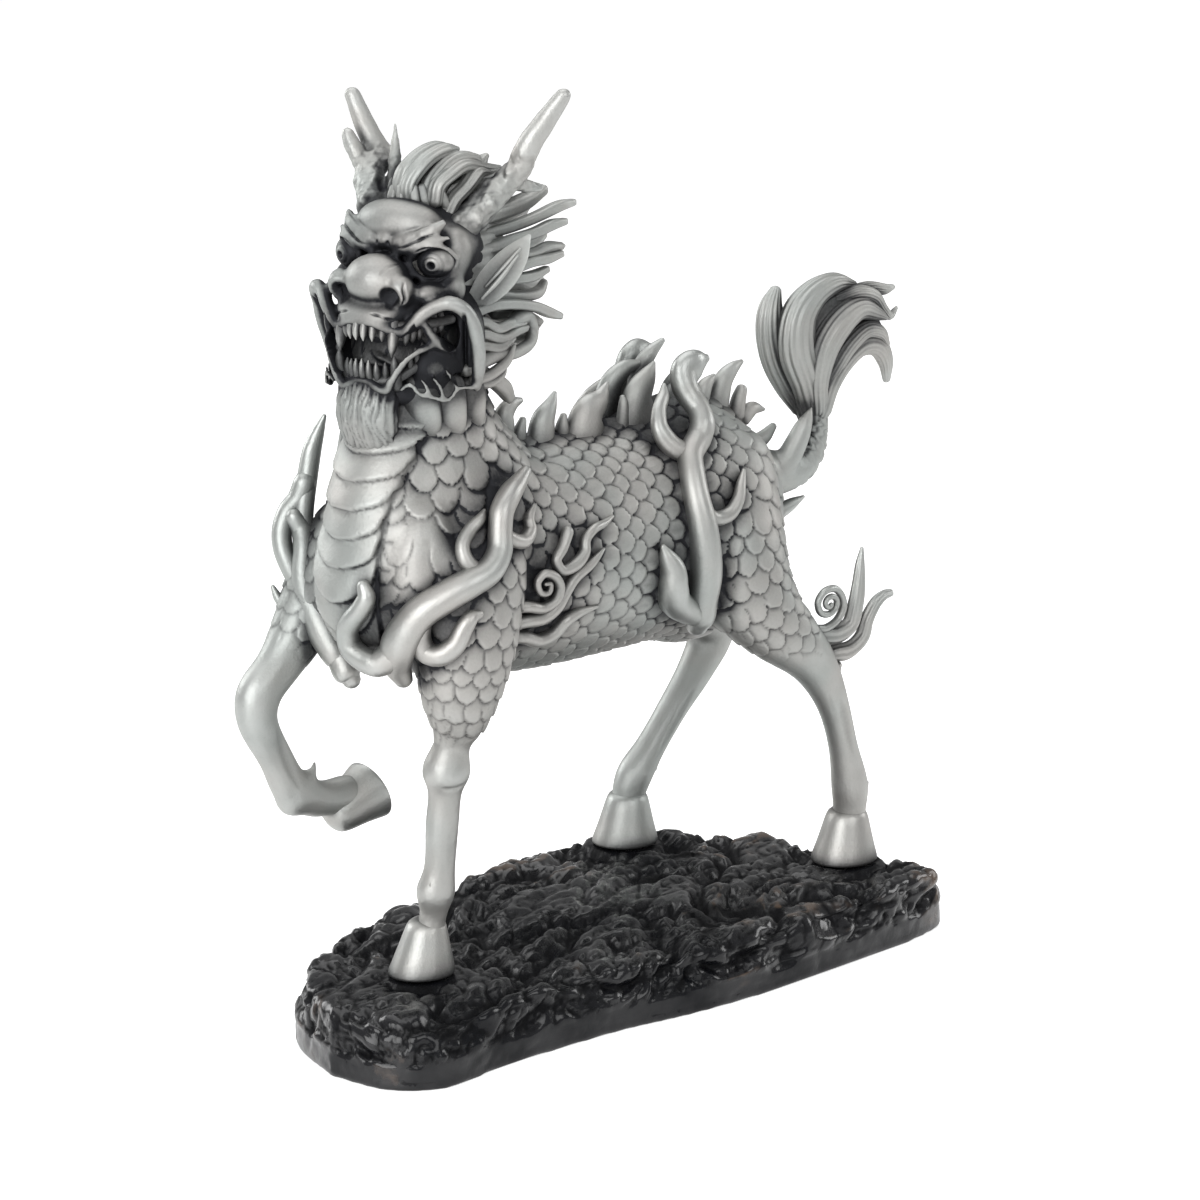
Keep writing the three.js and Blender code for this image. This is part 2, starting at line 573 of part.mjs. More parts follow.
// Its outline seen from above, as shares of its length and width
const rockOutline = new THREE.CatmullRomCurve3([
  [-0.5, -0.2], [-0.462, -0.38], [-0.38, -0.455], [-0.22, -0.41], [-0.08, -0.445], [0.085, -0.4], [0.23, -0.42],
  [0.4, -0.455], [0.5, -0.38], [0.49, -0.2], [0.46, 0.02], [0.4, 0.24], [0.3, 0.4], [0.16, 0.49], [0, 0.48],
  [-0.16, 0.44], [-0.32, 0.33], [-0.45, 0.12],
].map(([x, y]) => new THREE.Vector3(x, y, 0)), true);
const ROCK_CENTRE = { x: 3.5, y: -2 };

// Smooth unevenness between -1 and 1
function unevenness(x, y, z = 0) {
  return 0.5 * Math.sin(0.11 * x + 1.7 * Math.sin(0.06 * y + 0.3 * z))
    + 0.3 * Math.sin(0.17 * y - 0.07 * x + 0.5 * z + 1.3)
    + 0.2 * Math.sin(0.31 * x + 0.23 * y + 0.9 * z);
}

function rockRing(inset, height, rough) {
  return Array.from({ length: ROCK_FACETS }, (_, i) => {
    const edge = rockOutline.getPoint(i / ROCK_FACETS);
    const x = edge.x * ROCK_LENGTH;
    const y = edge.y * ROCK_WIDTH;
    const reach = Math.hypot(x, y);
    const pull = 1 - (inset + rough * unevenness(x * 3, y * 3, height)) / reach;
    return new THREE.Vector3(x * pull, y * pull, height);
  });
}

function rockTopRing(share) {
  const edge = rockRing(ROCK_SLOPE, 0, 0);
  return edge.map(({ x, y }) => {
    const px = x * share;
    const py = y * share;
    const drop = ROCK_ROUGHNESS * (0.55 + 0.45 * unevenness(px * 1.6, py * 1.6));
    return new THREE.Vector3(px, py, ROCK_HEIGHT - drop);
  });
}

function rockBase() {
  const rings = [
    rockRing(0.6, 0, 0),
    rockRing(0, 1.2, 0),
    rockRing(0.4, ROCK_BAND, 0.4),
    rockRing(1.8, ROCK_BAND + 0.8, 0.6),
    rockRing(2.4, ROCK_BAND + (ROCK_HEIGHT - ROCK_BAND) * 0.55, ROCK_ROUGHNESS),
    rockTopRing(1),
    rockTopRing(0.8),
    rockTopRing(0.55),
    rockTopRing(0.28),
  ];
  const middle = new THREE.Vector3(0, 0, ROCK_HEIGHT - ROCK_ROUGHNESS * 0.6);
  const stone = skinRings(rings, new THREE.Vector3(0, 0, 0), middle).translate(ROCK_CENTRE.x, ROCK_CENTRE.y, 0);
  const pads = HOOVES.map(({ x, y, sole }) => {
    const low = ROCK_BAND;
    const tall = ROCK_HEIGHT - low;
    const pad = new THREE.CylinderGeometry(sole * SHARE + PAD_MARGIN, sole * SHARE + PAD_MARGIN * 1.5, tall, 10);
    return pad.rotateX(Math.PI / 2).translate(x * SHARE, y * SHARE, low + tall / 2);
  });
  return meshOf(joined([stone, ...pads]), 'rock_base', darkStone());
}

const figure = new THREE.Group();
figure.add(qilin(), rockBase());

// The origin goes to the middle of the underside
const around = new THREE.Box3().setFromObject(figure);
const middle = around.getCenter(new THREE.Vector3());
figure.position.set(-middle.x, -middle.y, -around.min.z);
figure.updateMatrixWorld(true);

export default figure;
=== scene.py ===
# A pewter qilin with one forefoot raised, standing on a low dark rock.
import math

import bmesh
import bpy
import numpy as np
from mathutils import Matrix, Vector, kdtree, noise


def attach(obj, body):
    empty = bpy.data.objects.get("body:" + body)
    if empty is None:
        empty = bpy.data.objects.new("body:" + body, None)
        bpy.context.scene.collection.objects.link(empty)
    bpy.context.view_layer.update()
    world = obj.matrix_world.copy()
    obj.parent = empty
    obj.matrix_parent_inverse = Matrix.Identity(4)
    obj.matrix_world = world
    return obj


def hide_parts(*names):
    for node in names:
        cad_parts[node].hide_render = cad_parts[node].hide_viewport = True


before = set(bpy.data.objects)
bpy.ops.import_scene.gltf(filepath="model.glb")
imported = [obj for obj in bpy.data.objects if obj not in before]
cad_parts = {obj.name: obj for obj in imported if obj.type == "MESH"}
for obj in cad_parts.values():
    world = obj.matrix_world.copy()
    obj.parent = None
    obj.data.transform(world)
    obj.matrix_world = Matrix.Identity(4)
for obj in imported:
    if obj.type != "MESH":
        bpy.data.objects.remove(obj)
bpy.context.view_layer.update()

# Forms are laid out in millimetres from a point between the soles, then set in the part's frame.
# The head points towards -X and the beast's left side, the one that shows, towards -Y.
SOLES_UP = 16.3
FIGURE_PLACE = Matrix.Scale(0.001, 4) @ Matrix.Translation((-9.42, 0.314, SOLES_UP))
HEAD_PLACE = Matrix.Translation((-59, -3, 165.5)) @ Matrix.Rotation(math.pi + math.radians(12), 4, "Z")


# Curves and forms

def through(stations, steps):
    """Rows of a smooth curve through the stations, with even steps between them."""
    rows = np.array(stations, float)
    rows = np.vstack([2 * rows[0] - rows[1], rows, 2 * rows[-1] - rows[-2]])
    gaps = np.maximum(np.linalg.norm(np.diff(rows[:, :3], axis=0), axis=1), 1e-6) ** 0.5
    knots = np.concatenate([[0], np.cumsum(gaps)])
    out = []
    for i in range(1, len(rows) - 2):
        t = np.linspace(knots[i], knots[i + 1], steps, endpoint=False)[:, None]
        k = knots[i - 1:i + 3]
        p = rows[i - 1:i + 3]

        def between(a, b, low, high):
            return ((high - t) * a + (t - low) * b) / (high - low)

        first, second, third = (between(p[j], p[j + 1], k[j], k[j + 1]) for j in range(3))
        out.append(between(between(first, second, k[0], k[2]), between(second, third, k[1], k[3]), k[1],
                           k[2]))
    out.append(rows[-2:-1])
    return np.vstack(out)


def round_section(around):
    turn = (np.arange(around) + 0.5) * 2 * math.pi / around
    return np.stack([np.cos(turn), np.sin(turn)], 1)


def stranded_section(around, strands, depth, phase=0.0):
    """A lock's section, with a groove between one strand and the next."""
    turn = (np.arange(around) + 0.5) * 2 * math.pi / around
    reach = 1 + depth * (np.abs(np.sin(strands * turn / 2 + phase)) * 2 - 1.2)
    return np.stack([np.cos(turn), np.sin(turn)], 1) * reach[:, None]


def channel_section(around, depth):
    """A section that is hollow on the side that the width points to."""
    ring = round_section(around)
    ring[:, 0] = np.where(ring[:, 0] > 0, -depth * ring[:, 0], ring[:, 0])
    return ring


def lofted(rings):
    """A closed form over rings that all have the same number of points."""
    bm = bmesh.new()
    loops = []
    for points in rings:
        ring = bmesh.ops.create_circle(bm, segments=len(points), radius=1)["verts"]
        for vert, point in zip(ring, points):
            vert.co = point
        loops.append(list({edge for vert in ring for edge in vert.link_edges}))
    for one, two in zip(loops, loops[1:]):
        bmesh.ops.bridge_loops(bm, edges=one + two)
    for loop in (loops[0], loops[-1]):
        bmesh.ops.edgeloop_fill(bm, edges=loop)
    bmesh.ops.recalc_face_normals(bm, faces=bm.faces)
    return as_mesh(bm)


def tube(stations, steps=6, side=(0, 1, 0), section=None, cap=0.9):
    """A closed form through stations (x, y, z, half width, half depth). The width lies along side."""
    section = round_section(16) if section is None else section
    rows = through(stations, steps)
    along = np.gradient(rows[:, :3], axis=0)
    along /= np.linalg.norm(along, axis=1)[:, None]
    rings = [(rows[i, :3], along[i], np.maximum(rows[i, 3:5], 0.1)) for i in range(len(rows))]
    for end, sign in ((0, -1), (-1, 1)):
        centre, way, size = rings[end]
        extra = []
        for bow in (30, 58, 80):
            reach = sign * cap * min(size) * math.sin(math.radians(bow))
            extra.append((centre + way * reach, way, size * math.cos(math.radians(bow))))
        rings = extra[::-1] + rings if end == 0 else rings + extra
    outlines = []
    for centre, way, size in rings:
        wide = np.array(side, float) - way * np.dot(way, side)
        wide /= np.linalg.norm(wide)
        deep = np.cross(way, wide)
        outlines.append([centre + wide * u * size[0] + deep * v * size[1] for u, v in section])
    return lofted(outlines)


def ball(centre, radii, turn=(0, 0, 0), fine=3):
    """An egg-shaped mass."""
    bm = bmesh.new()
    place = Matrix.Translation(centre)
    for angle, axis in zip(turn, "XYZ"):
        place = place @ Matrix.Rotation(math.radians(angle), 4, axis)
    place = place @ Matrix.Diagonal((*radii, 1))
    bmesh.ops.create_icosphere(bm, subdivisions=fine, radius=1, matrix=place)
    return as_mesh(bm)


def as_mesh(bm):
    mesh = bpy.data.meshes.new("form")
    bm.to_mesh(mesh)
    bm.free()
    return mesh


def other_side(mesh):
    """The same form on the other side of the beast."""
    bm = bmesh.new()
    bm.from_mesh(mesh)
    bmesh.ops.scale(bm, vec=(1, -1, 1), verts=bm.verts)
    bmesh.ops.reverse_faces(bm, faces=bm.faces)
    return as_mesh(bm)


def both_sides(meshes):
    return list(meshes) + [other_side(mesh) for mesh in meshes]


def gathered(meshes):
    bm = bmesh.new()
    for mesh in meshes:
        bm.from_mesh(mesh)
    return as_mesh(bm)


def moved(mesh, place):
    mesh.transform(place)
    return mesh


def finished_by(mesh, kind, **settings):
    """The mesh after one modifier."""
    obj = bpy.data.objects.new("work", mesh)
    bpy.context.scene.collection.objects.link(obj)
    modifier = obj.modifiers.new("work", kind)
    for name, value in settings.items():
        setattr(modifier, name, value)
    view = bpy.context.evaluated_depsgraph_get()
    view.update()
    result = bpy.data.meshes.new_from_object(obj.evaluated_get(view))
    bpy.data.objects.remove(obj)
    return result


class Skin:
    """An even skin over forms that have run together, worked by strokes."""

    def __init__(self, mesh):
        self.mesh = mesh
        self.place = np.empty(len(mesh.vertices) * 3)
        mesh.vertices.foreach_get("co", self.place)
        self.place = self.place.reshape(-1, 3)
        self.edges = np.empty(len(mesh.edges) * 2, int)
        mesh.edges.foreach_get("vertices", self.edges)
        self.edges = self.edges.reshape(-1, 2)
        self.faces = np.empty(len(mesh.loops), int)
        mesh.loops.foreach_get("vertex_index", self.faces)
        self.faces = self.faces.reshape(-1, 4)
        self.links = np.maximum(np.bincount(self.edges.ravel(), minlength=len(self.place)), 1)
        self.shade_and_patina = np.zeros(len(self.place))
        self.feel()

    def feel(self):
        """Takes the skin's normals again."""
        corner = self.place[self.faces]
        way = np.cross(corner[:, 2] - corner[:, 0], corner[:, 3] - corner[:, 1])
        total = np.stack([np.bincount(self.faces.ravel(), np.repeat(way[:, k], 4), len(self.place))
                          for k in range(3)], 1)
        self.out = total / np.maximum(np.linalg.norm(total, axis=1), 1e-12)[:, None]

    def average(self, values):
        a, b = self.edges.T
        count = len(self.place)
        if values.ndim == 1:
            return (np.bincount(a, values[b], count) + np.bincount(b, values[a], count)) / self.links
        return np.stack([self.average(values[:, k]) for k in range(values.shape[1])], 1)

    def relax(self, rounds, where=1.0, strength=0.6):
        amount = strength * where if np.isscalar(where) else (strength * where)[:, None]
        for _ in range(rounds):
            self.place += (self.average(self.place) - self.place) * amount
        self.feel()

    def push(self, height, where=slice(None)):
        self.place[where] += self.out[where] * np.asarray(height)[..., None]

    def stroke(self, line, reach, height, taper=0.35, steps=4, shade_and_patina=None):
        """A ridge, or a groove where the height is negative, along a line on the skin."""
        points = through([(*p, 0, 0) for p in line], steps)[:, :3] if len(line) > 1 else np.array(line, float)
        low, high = points.min(0) - reach, points.max(0) + reach
        near = np.nonzero(np.all((self.place > low) & (self.place < high), axis=1))[0]
        if not len(near):
            return
        spot = self.place[near]
        best = np.full(len(near), 1e9)
        share = np.zeros(len(near))
        if len(points) == 1:
            best = np.linalg.norm(spot - points[0], axis=1)
            share[:] = 0.5
        for n in range(len(points) - 1):
            way = points[n + 1] - points[n]
            t = np.clip(((spot - points[n]) @ way) / max(way @ way, 1e-9), 0, 1)
            apart = np.linalg.norm(spot - points[n] - t[:, None] * way, axis=1)
            closer = apart < best
            best[closer] = apart[closer]
            share[closer] = ((n + t) / (len(points) - 1))[closer]
        size = np.clip(np.minimum(share, 1 - share) / max(taper, 1e-6), 0.05, 1) ** 0.6 if taper else 1.0
        shape = np.clip(1 - (best / (reach * size)) ** 2, 0, 1) ** 2 * size
        self.push(height * shape, near)
        # Grooves are darkened with painted shade and patina along their length.
        if shade_and_patina is None:
            shade_and_patina = 0.7 if height < 0 else 0
        if shade_and_patina:
            self.shade_and_patina[near] = np.maximum(self.shade_and_patina[near], shade_and_patina * shape)

    def done(self):
        """The skin as a mesh, with the painted shade and patina that darken its grooves and hollows."""
        self.mesh.vertices.foreach_set("co", self.place.ravel())
        layer = self.mesh.attributes.get("shade_and_patina") or self.mesh.attributes.new("shade_and_patina", "FLOAT", "POINT")
        layer.data.foreach_set("value", np.clip(self.shade_and_patina, 0, 1).astype(np.float32))
        self.mesh.update()
        return self.mesh


def fused(forms, voxel, rounds, where=None, halve=False):
    """Forms run together into one skin. The joins are smoothed, and the skin may be made twice as fine."""
    skin = Skin(finished_by(gathered(forms), "REMESH", mode="VOXEL", voxel_size=voxel))
    skin.relax(rounds, 1.0 if where is None else where(skin.place))
    if not halve:
        return skin
    return Skin(finished_by(skin.done(), "SUBSURF", levels=1, render_levels=1))


def ramp(value, low, high):
    t = np.clip((value - low) / (high - low), 0, 1)
    return t * t * (3 - 2 * t)


def uneven(points, size, seed=0.0):
    """Smooth unevenness between about -1 and 1, without noise calls for every point."""
    p = np.asarray(points) / size + seed
    x, y, z = p[..., 0], p[..., 1], p[..., 2]
    return (np.sin(1.7 * x + 1.3 * np.sin(1.1 * y + 0.7 * z))
            + np.sin(2.1 * y + 1.4 * np.sin(1.3 * z + 0.9 * x))
            + np.sin(1.9 * z + 1.2 * np.sin(1.2 * x + 1.5 * y))) / 3


# Body

TORSO = [
    (-72, -2.4, 100, 6.5, 11), (-69, -2, 99, 12.6, 16.5), (-60, -1, 96.4, 20.6, 22.6),
    (-43, 0, 93, 24.6, 25.8),
    (-20, 0, 91, 24.4, 27.2), (3, 0, 90.2, 24.2, 27), (20, 0, 90.6, 23.6, 27.8), (33, 0, 90.6, 22.8, 30.6),
    (45, 0, 91.8, 20.4, 26.6), (53, 0, 93, 16.6, 20.6), (58.8, 0, 94, 11, 13), (61.6, 0, 94.6, 5, 7),
]
THROAT = [
    (-50, -5, 141, 8, 7), (-56.4, -4, 131, 9.6, 8), (-60.6, -3, 122, 10.6, 8.6), (-63.6, -2.4, 113, 11, 8.8),
    (-65, -2.6, 105, 11, 8.8),
    (-65, -3, 97, 11, 8.6), (-63.4, -3.6, 90, 10, 7.6), (-59.6, -4, 84, 8, 6),
]
NECK = [
    (-38, 0, 94, 22, 24), (-45, 0, 110, 19.6, 25), (-48.6, 0, 122, 17.6, 20), (-50, 0, 134, 15.6, 16.4),
    (-50, -0.5, 147, 13.6, 14.6), (-47, -1, 160, 11.6, 12.6),
]
NEAR_FORELEG = [
    (-40, -14, 108, 9, 11), (-47, -17.5, 96, 10.5, 14), (-51.6, -19, 84, 10.6, 13.2),
    (-52.6, -18.5, 76, 10.4, 12),
    (-53.4, -18, 66.4, 8.6, 9.4), (-53.4, -17, 60.3, 6.2, 6.8), (-54, -16, 55.9, 4.1, 4.3),
    (-54.5, -15.4, 52.6, 4.8, 5),
    (-55.1, -15, 48.8, 5.6, 5.9), (-55.1, -14.6, 44.6, 4, 4.1), (-55.2, -13.6, 36.5, 3.9, 4),
    (-55, -12.2, 24.6, 3.7, 3.8),
    (-55.5, -11.4, 19.5, 4.5, 4.8), (-55.5, -10.6, 14.4, 3.3, 3.3), (-56.3, -9.6, 8, 3.6, 3.6),
]
FAR_FORELEG = [
    (-44, 13, 104, 9, 12), (-55, 16, 96, 10, 12.5), (-63, 18.6, 86, 8.3, 9.6), (-69.8, 20, 76, 6.2, 6.8),
    (-75.4, 20, 70, 5.2, 5.6), (-81, 20, 65, 5.1, 5.5), (-81.4, 20, 59.4, 4.7, 4.9), (-76, 20, 48.8, 4, 4.2),
    (-71.4, 20, 40.6, 4.4, 4.7), (-66, 20, 37.2, 4.3, 4.6), (-61.4, 20, 36, 4.2, 4.4),
    (-55, 20, 35.8, 4.6, 4.6),
]
NEAR_HINDLEG = [
    (41, -10, 106, 9, 12.4), (37, -15, 92, 10.4, 14.4), (37, -19, 78, 9.6, 13.4), (44.2, -21.5, 67, 7.8, 9.8),
    (55.5, -22.8, 56.5, 5.7, 6.8), (61, -22.9, 49.5, 4.6, 5.4), (65.6, -22.8, 41, 3.9, 4.2),
    (69.8, -22.2, 30, 3.7, 3.9),
    (73, -21.8, 18.5, 4.6, 4.9), (73.4, -21.4, 13, 4.2, 4.3), (73, -21, 5, 4.4, 4.4),
]
FAR_HINDLEG = [
    (46, 10, 104, 9, 14), (48, 15, 90, 10.5, 17), (56, 19, 74.5, 9.4, 13.2), (65.4, 22.6, 60.6, 8, 10),
    (70.6, 24.4, 50, 5.8, 6.3), (66, 25, 41.4, 4.6, 5), (58, 25.6, 32, 3.9, 4.1), (50.4, 26.1, 23, 3.9, 4.1),
    (45.2, 26.6, 16.5, 4.6, 4.9), (43.4, 26.8, 11.5, 4.2, 4.3), (43, 27, 5, 4.4, 4.4),
]
TAIL_ROOT = [
    (52, 0, 99, 8, 8), (60, 0, 97.4, 6.2, 6.4), (68, 0, 95.8, 5.2, 5.6), (75.2, 0, 96.2, 4.4, 4.6),
    (80, 0, 99.8, 3.8, 4),
]
CHEST_LINE = [
    (-58, -7.6, 142, 6.6, 0), (-62.4, -7, 136, 7, 0), (-66, -5.8, 130, 7.8, 0), (-68.2, -3.6, 122, 9, 0),
    (-70.8, -2, 114, 9.6, 0), (-72.6, -1.2, 105, 9.6, 0), (-73, -1.2, 97, 9.2, 0),
    (-71.6, -2.4, 90.6, 8.2, 0),
    (-68.6, -4, 85, 6.6, 0), (-64.6, -5, 80, 4.4, 0),
]
CHEST_PLATES = 10.5
# The near side of the breast, only to lay its scales out
BREAST = [(-56, -14, 121, 9, 9), (-60, -15, 109, 10, 10), (-61.5, -15, 98, 10, 10), (-60, -15, 87, 9.4, 9.4),
          (-57, -15, 78, 8, 8)]


def body_forms():
    wide = round_section(32)
    leg = round_section(20)
    forms = [tube(TORSO, 5, section=wide, cap=0.3), tube(NECK, 6, section=wide),
             tube(THROAT, 5, section=wide)]
    forms += [tube(stations, 5, section=leg)
              for stations in (NEAR_FORELEG, FAR_FORELEG, NEAR_HINDLEG, FAR_HINDLEG)]
    forms += [
        tube(TAIL_ROOT, 5),
        ball((-53, -19.5, 91), (10, 7.5, 15), (0, -12, 0)),
        ball((-57, 16, 94), (9.6, 8, 13), (0, 20, 0)),
        ball((38.6, -15, 84), (12.4, 9, 17.6), (0, 14, 0)),
        ball((50, 14, 84), (14, 9, 17), (0, 20, 0)),
        ball((-61.5, -14, 98), (8.2, 8, 16), (0, 6, 0)),
        ball((-59.6, 12.6, 97), (8, 7.6, 14), (0, 6, 0)),
        ball((-55, -15.1, 49.2), (5.7, 5.4, 5.4)),
        ball((-81, 20, 63), (5, 5, 5.8)),
        ball((-70.8, 20, 38.8), (4.9, 4.6, 5.2)),
        ball((58.6, -22.8, 53), (5.2, 4.8, 6.8), (0, -38, 0)),
        ball((69, 24.8, 45.6), (5.2, 4.8, 6.6), (0, 28, 0)),
        tube([(-30, 0, 114, 4, 4), (-18, 0, 115.6, 3.6, 4), (2, 0, 114.6, 3.6, 4), (20, 0, 116.4, 3.6, 4),
              (34, 0, 118.4, 3.4, 3.6), (47, 0, 114, 3.2, 3.4), (56, 0, 107, 3, 3)], 5),
    ]
    for (x, y, z), (dx, dz) in (((-68.4, 18.6, 41.4), (3, 4.8)), ((75, -21.7, 18), (5.6, 0.4)),
                                ((48, 26.2, 17.6), (6, -0.6))):
        forms.append(tube([(x - 0.4 * dx, y, z - 0.2 * dz, 2.2, 2.2),
                           (x + 0.5 * dx, y, z + 0.3 * dz, 1.7, 1.7),
                           (x + dx, y, z + dz, 0.7, 0.7)], 4))
    return forms


def legs_thin(place):
    """How much a spot may be smoothed: less on the thin legs than on the trunk."""
    return 0.25 + 0.75 * ramp(place[:, 2], 52, 76)


def chest_relief(skin):
    """Smooth plates that lap one another down the chest. Returns how far each spot lies on them."""
    line = through(CHEST_LINE, 24)
    length = np.concatenate([[0], np.cumsum(np.linalg.norm(np.diff(line[:, [0, 2]], axis=0), axis=1))])
    tree = kdtree.KDTree(len(line))
    for n, p in enumerate(line):
        tree.insert((p[0], 0, p[2]), n)
    tree.balance()
    near = np.nonzero((skin.place[:, 0] < -44) & (skin.place[:, 2] > 68) & (np.abs(skin.place[:, 1]) < 22)
                      & (skin.out[:, 0] < 0.55))[0]
    on = np.zeros(len(skin.place))
    spot = skin.place[near]
    # The nearest point of the middle line as seen from the side, so that a plate wraps round level
    rank = np.array([tree.find((p[0], 0, p[2]))[1] for p in spot])
    down = length[rank]
    total = length[-1]
    half = line[rank, 3]
    across = (spot[:, 1] - line[rank, 1]) / half
    pitch = total / CHEST_PLATES
    bow = down / pitch - 0.8 * np.sqrt(np.clip(1 - across ** 2, 0, 1)) + 0.35
    step = bow - np.floor(bow)
    facing = ramp(-skin.out[near, 0], 0.0, 0.25)
    inside = ramp(1.06 - np.abs(across) - 0.05 * np.cos(2 * math.pi * step), 0.0, 0.1) * facing
    ends = ramp(down, 0.5, 2.0) * ramp(total - down, 1, 5)
    lap = step - ramp(step, 0.88, 1.0)
    groove = np.exp(-((step - 0.985) / 0.05) ** 2) + np.exp(-((step + 0.015) / 0.05) ** 2)
    rim = np.exp(-((np.abs(across) - 1.05) / 0.05) ** 2) * facing
    skin.push(inside * ends * (0.55 + 1.15 * lap) - 0.5 * rim * ends, near)
    # Painted shade and patina in the grooves between the plates and along their rims.
    skin.shade_and_patina[near] = np.maximum(skin.shade_and_patina[near], ends * np.maximum(0.7 * groove * inside, 0.55 * rim))
    on[near] = inside * ends
    skin.feel()
    return np.maximum(on, 0)


def scale_rows(tree, stations, first, last, across, pitch, flow):
    """Seeds of scales in staggered rows round one limb, where they meet the skin."""
    rows = through(stations, 24)
    length = np.concatenate([[0], np.cumsum(np.linalg.norm(np.diff(rows[:, :3], axis=0), axis=1))])
    seeds = []
    reach = first
    count = 0
    while reach < last * length[-1]:
        n = min(int(np.searchsorted(length, reach)), len(rows) - 2)
        centre, size = rows[n, :3], rows[n, 3:5]
        way = rows[n + 1, :3] - rows[n, :3]
        way /= np.linalg.norm(way)
        wide = np.array([0, 1.0, 0]) - way * way[1]
        wide /= np.linalg.norm(wide)
        deep = np.cross(way, wide)
        girth = math.pi * (3 * (size[0] + size[1]) - math.sqrt((3 * size[0] + size[1])
                                                               * (size[0] + 3 * size[1])))
        around = max(8, round(girth / across / 2) * 2)
        for k in range(around):
            turn = 2 * math.pi * (k + 0.5 * (count % 2)) / around
            spot = centre + wide * size[0] * math.cos(turn) + deep * size[1] * math.sin(turn)
            place, index, apart = tree.find(spot)
            if apart < 3.2:
                seeds.append((np.array(place), index, flow(np.array(place), way)))
        reach += pitch
        count += 1
    return seeds


def trunk_flow(spot, way):
    x = spot[0]
    drop = 0.3 + 1.3 * float(ramp(-x, 14, 34)) + 0.6 * float(ramp(x, 26, 52))
    return np.array([1.0, 0, -drop])


def limb_flow(spot, way):
    return np.array(way)


def scale_relief(skin, bare):
    """Fish scales that lap one another from the head to the tail and down the legs."""
    tree = kdtree.KDTree(len(skin.place))
    for n, p in enumerate(skin.place):
        tree.insert(p, n)
    tree.balance()
    groups = [
        scale_rows(tree, NEAR_FORELEG[1:7], 0, 1.0, 5.2, 4.3, limb_flow),
        scale_rows(tree, NEAR_HINDLEG[1:6], 0, 1.0, 5.4, 4.4, limb_flow),
        scale_rows(tree, FAR_FORELEG[1:6], 0, 1.0, 5.2, 4.3, limb_flow),
        scale_rows(tree, FAR_HINDLEG[1:6], 0, 1.0, 5.4, 4.4, limb_flow),
        scale_rows(tree, BREAST, 0, 1.0, 5.4, 4.5, limb_flow),
        scale_rows(tree, [(x, -y, *rest) for x, y, *rest in BREAST], 0, 1.0, 5.4, 4.5, limb_flow),
        scale_rows(tree, NECK[::-1], 0, 0.8, 5.8, 4.8, limb_flow),
        scale_rows(tree, TORSO, 10, 1.0, 5.5, 4.5, trunk_flow),
    ]
    seeds = []
    for group in groups:
        known = kdtree.KDTree(max(len(seeds), 1))
        for n, (place, _, _) in enumerate(seeds):
            known.insert(place, n)
        known.balance()
        for seed in group:
            if not seeds or known.find(seed[0])[0] is None or known.find(seed[0])[2] > 4.0:
                seeds.append(seed)
    spot = np.array([s[0] for s in seeds])
    face = skin.out[[s[1] for s in seeds]]
    flow = np.array([s[2] for s in seeds])
    for _ in range(5):
        known = kdtree.KDTree(len(spot))
        for n, p in enumerate(spot):
            known.insert(p, n)
        known.balance()
        shift = np.zeros_like(spot)
        soft = flow.copy()
        for n, p in enumerate(spot):
            for other, k, apart in known.find_range(p, 7.0):
                if k == n:
                    continue
                soft[n] += flow[k] * 0.25
                if apart < 5.0:
                    shift[n] += (p - np.array(other)) / max(apart, 0.3) * (5.0 - apart) * 0.22
        flow = soft / np.linalg.norm(soft, axis=1)[:, None]
        shift -= face * (shift * face).sum(1)[:, None]
        spot = spot + shift
        for n, p in enumerate(spot):
            place, index, _ = tree.find(p)
            spot[n] = place
            face[n] = skin.out[index]
    flow -= face * (flow * face).sum(1)[:, None]
    flow /= np.maximum(np.linalg.norm(flow, axis=1), 1e-6)[:, None]
    side = np.cross(face, flow)
    known = kdtree.KDTree(len(spot))
    for n, p in enumerate(spot):
        known.insert(p, n)
    known.balance()
    gap = np.array([np.mean([hit[2] for hit in known.find_n(p, 6)[1:]]) for p in spot])
    gap = np.clip(gap, 4.2, 6.6)

    work = np.nonzero(bare > 0.01)[0]
    nearest = np.array([[hit[1] for hit in known.find_n(p, 8)] for p in skin.place[work]])
    apart = (skin.place[work][:, None, :] - spot[nearest]).astype(np.float32)
    down = (apart * flow[nearest]).sum(2) / (0.74 * gap[nearest])
    over = (apart * side[nearest]).sum(2) / (0.55 * gap[nearest])
    depth = (apart * face[nearest]).sum(2)
    sound = (np.abs(depth) < 4) & ((skin.out[work][:, None, :] * face[nearest]).sum(2) > 0.2)
    reach = np.sqrt(over ** 2 + np.maximum(down, 0) ** 2)
    inside = sound & (reach < 1) & (down > -1.4)
    rank = np.where(inside, down, -9)
    chosen = rank.argmax(1)
    rows = np.arange(len(work))
    along = np.where(rank[rows, chosen] > -5, rank[rows, chosen], -1.0)
    edge = (1 - reach[rows, chosen]) * 0.6 * gap[nearest[rows, chosen]]
    miss = (reach - 1) * 0.6 * gap[nearest]
    beyond = sound & (reach >= 1) & (down > -0.15) & (down > along[:, None] + 0.02)
    groove = (np.where(beyond, np.clip(1 - miss / 0.95, 0, 1), 0) ** 1.4).max(1)
    rim = np.where((along > -0.2) & (along > -1), np.exp(-(np.clip(edge, 0, 9) / 0.4) ** 2), 0)
    height = 0.4 * along - 0.06 * rim - 0.26 * groove
    skin.push(height * bare[work], work)
    # Painted shade in the grooves under each scale's edge, and a painted shadow over each scale's root where
    # the scale before it laps over; partly dark patina.
    skin.shade_and_patina[work] = np.maximum(skin.shade_and_patina[work], np.clip(groove * 0.95 + 0.34 * (1 - ramp(along, -0.7, 0.5)),
                                                        0, 1) * bare[work])
    skin.feel()


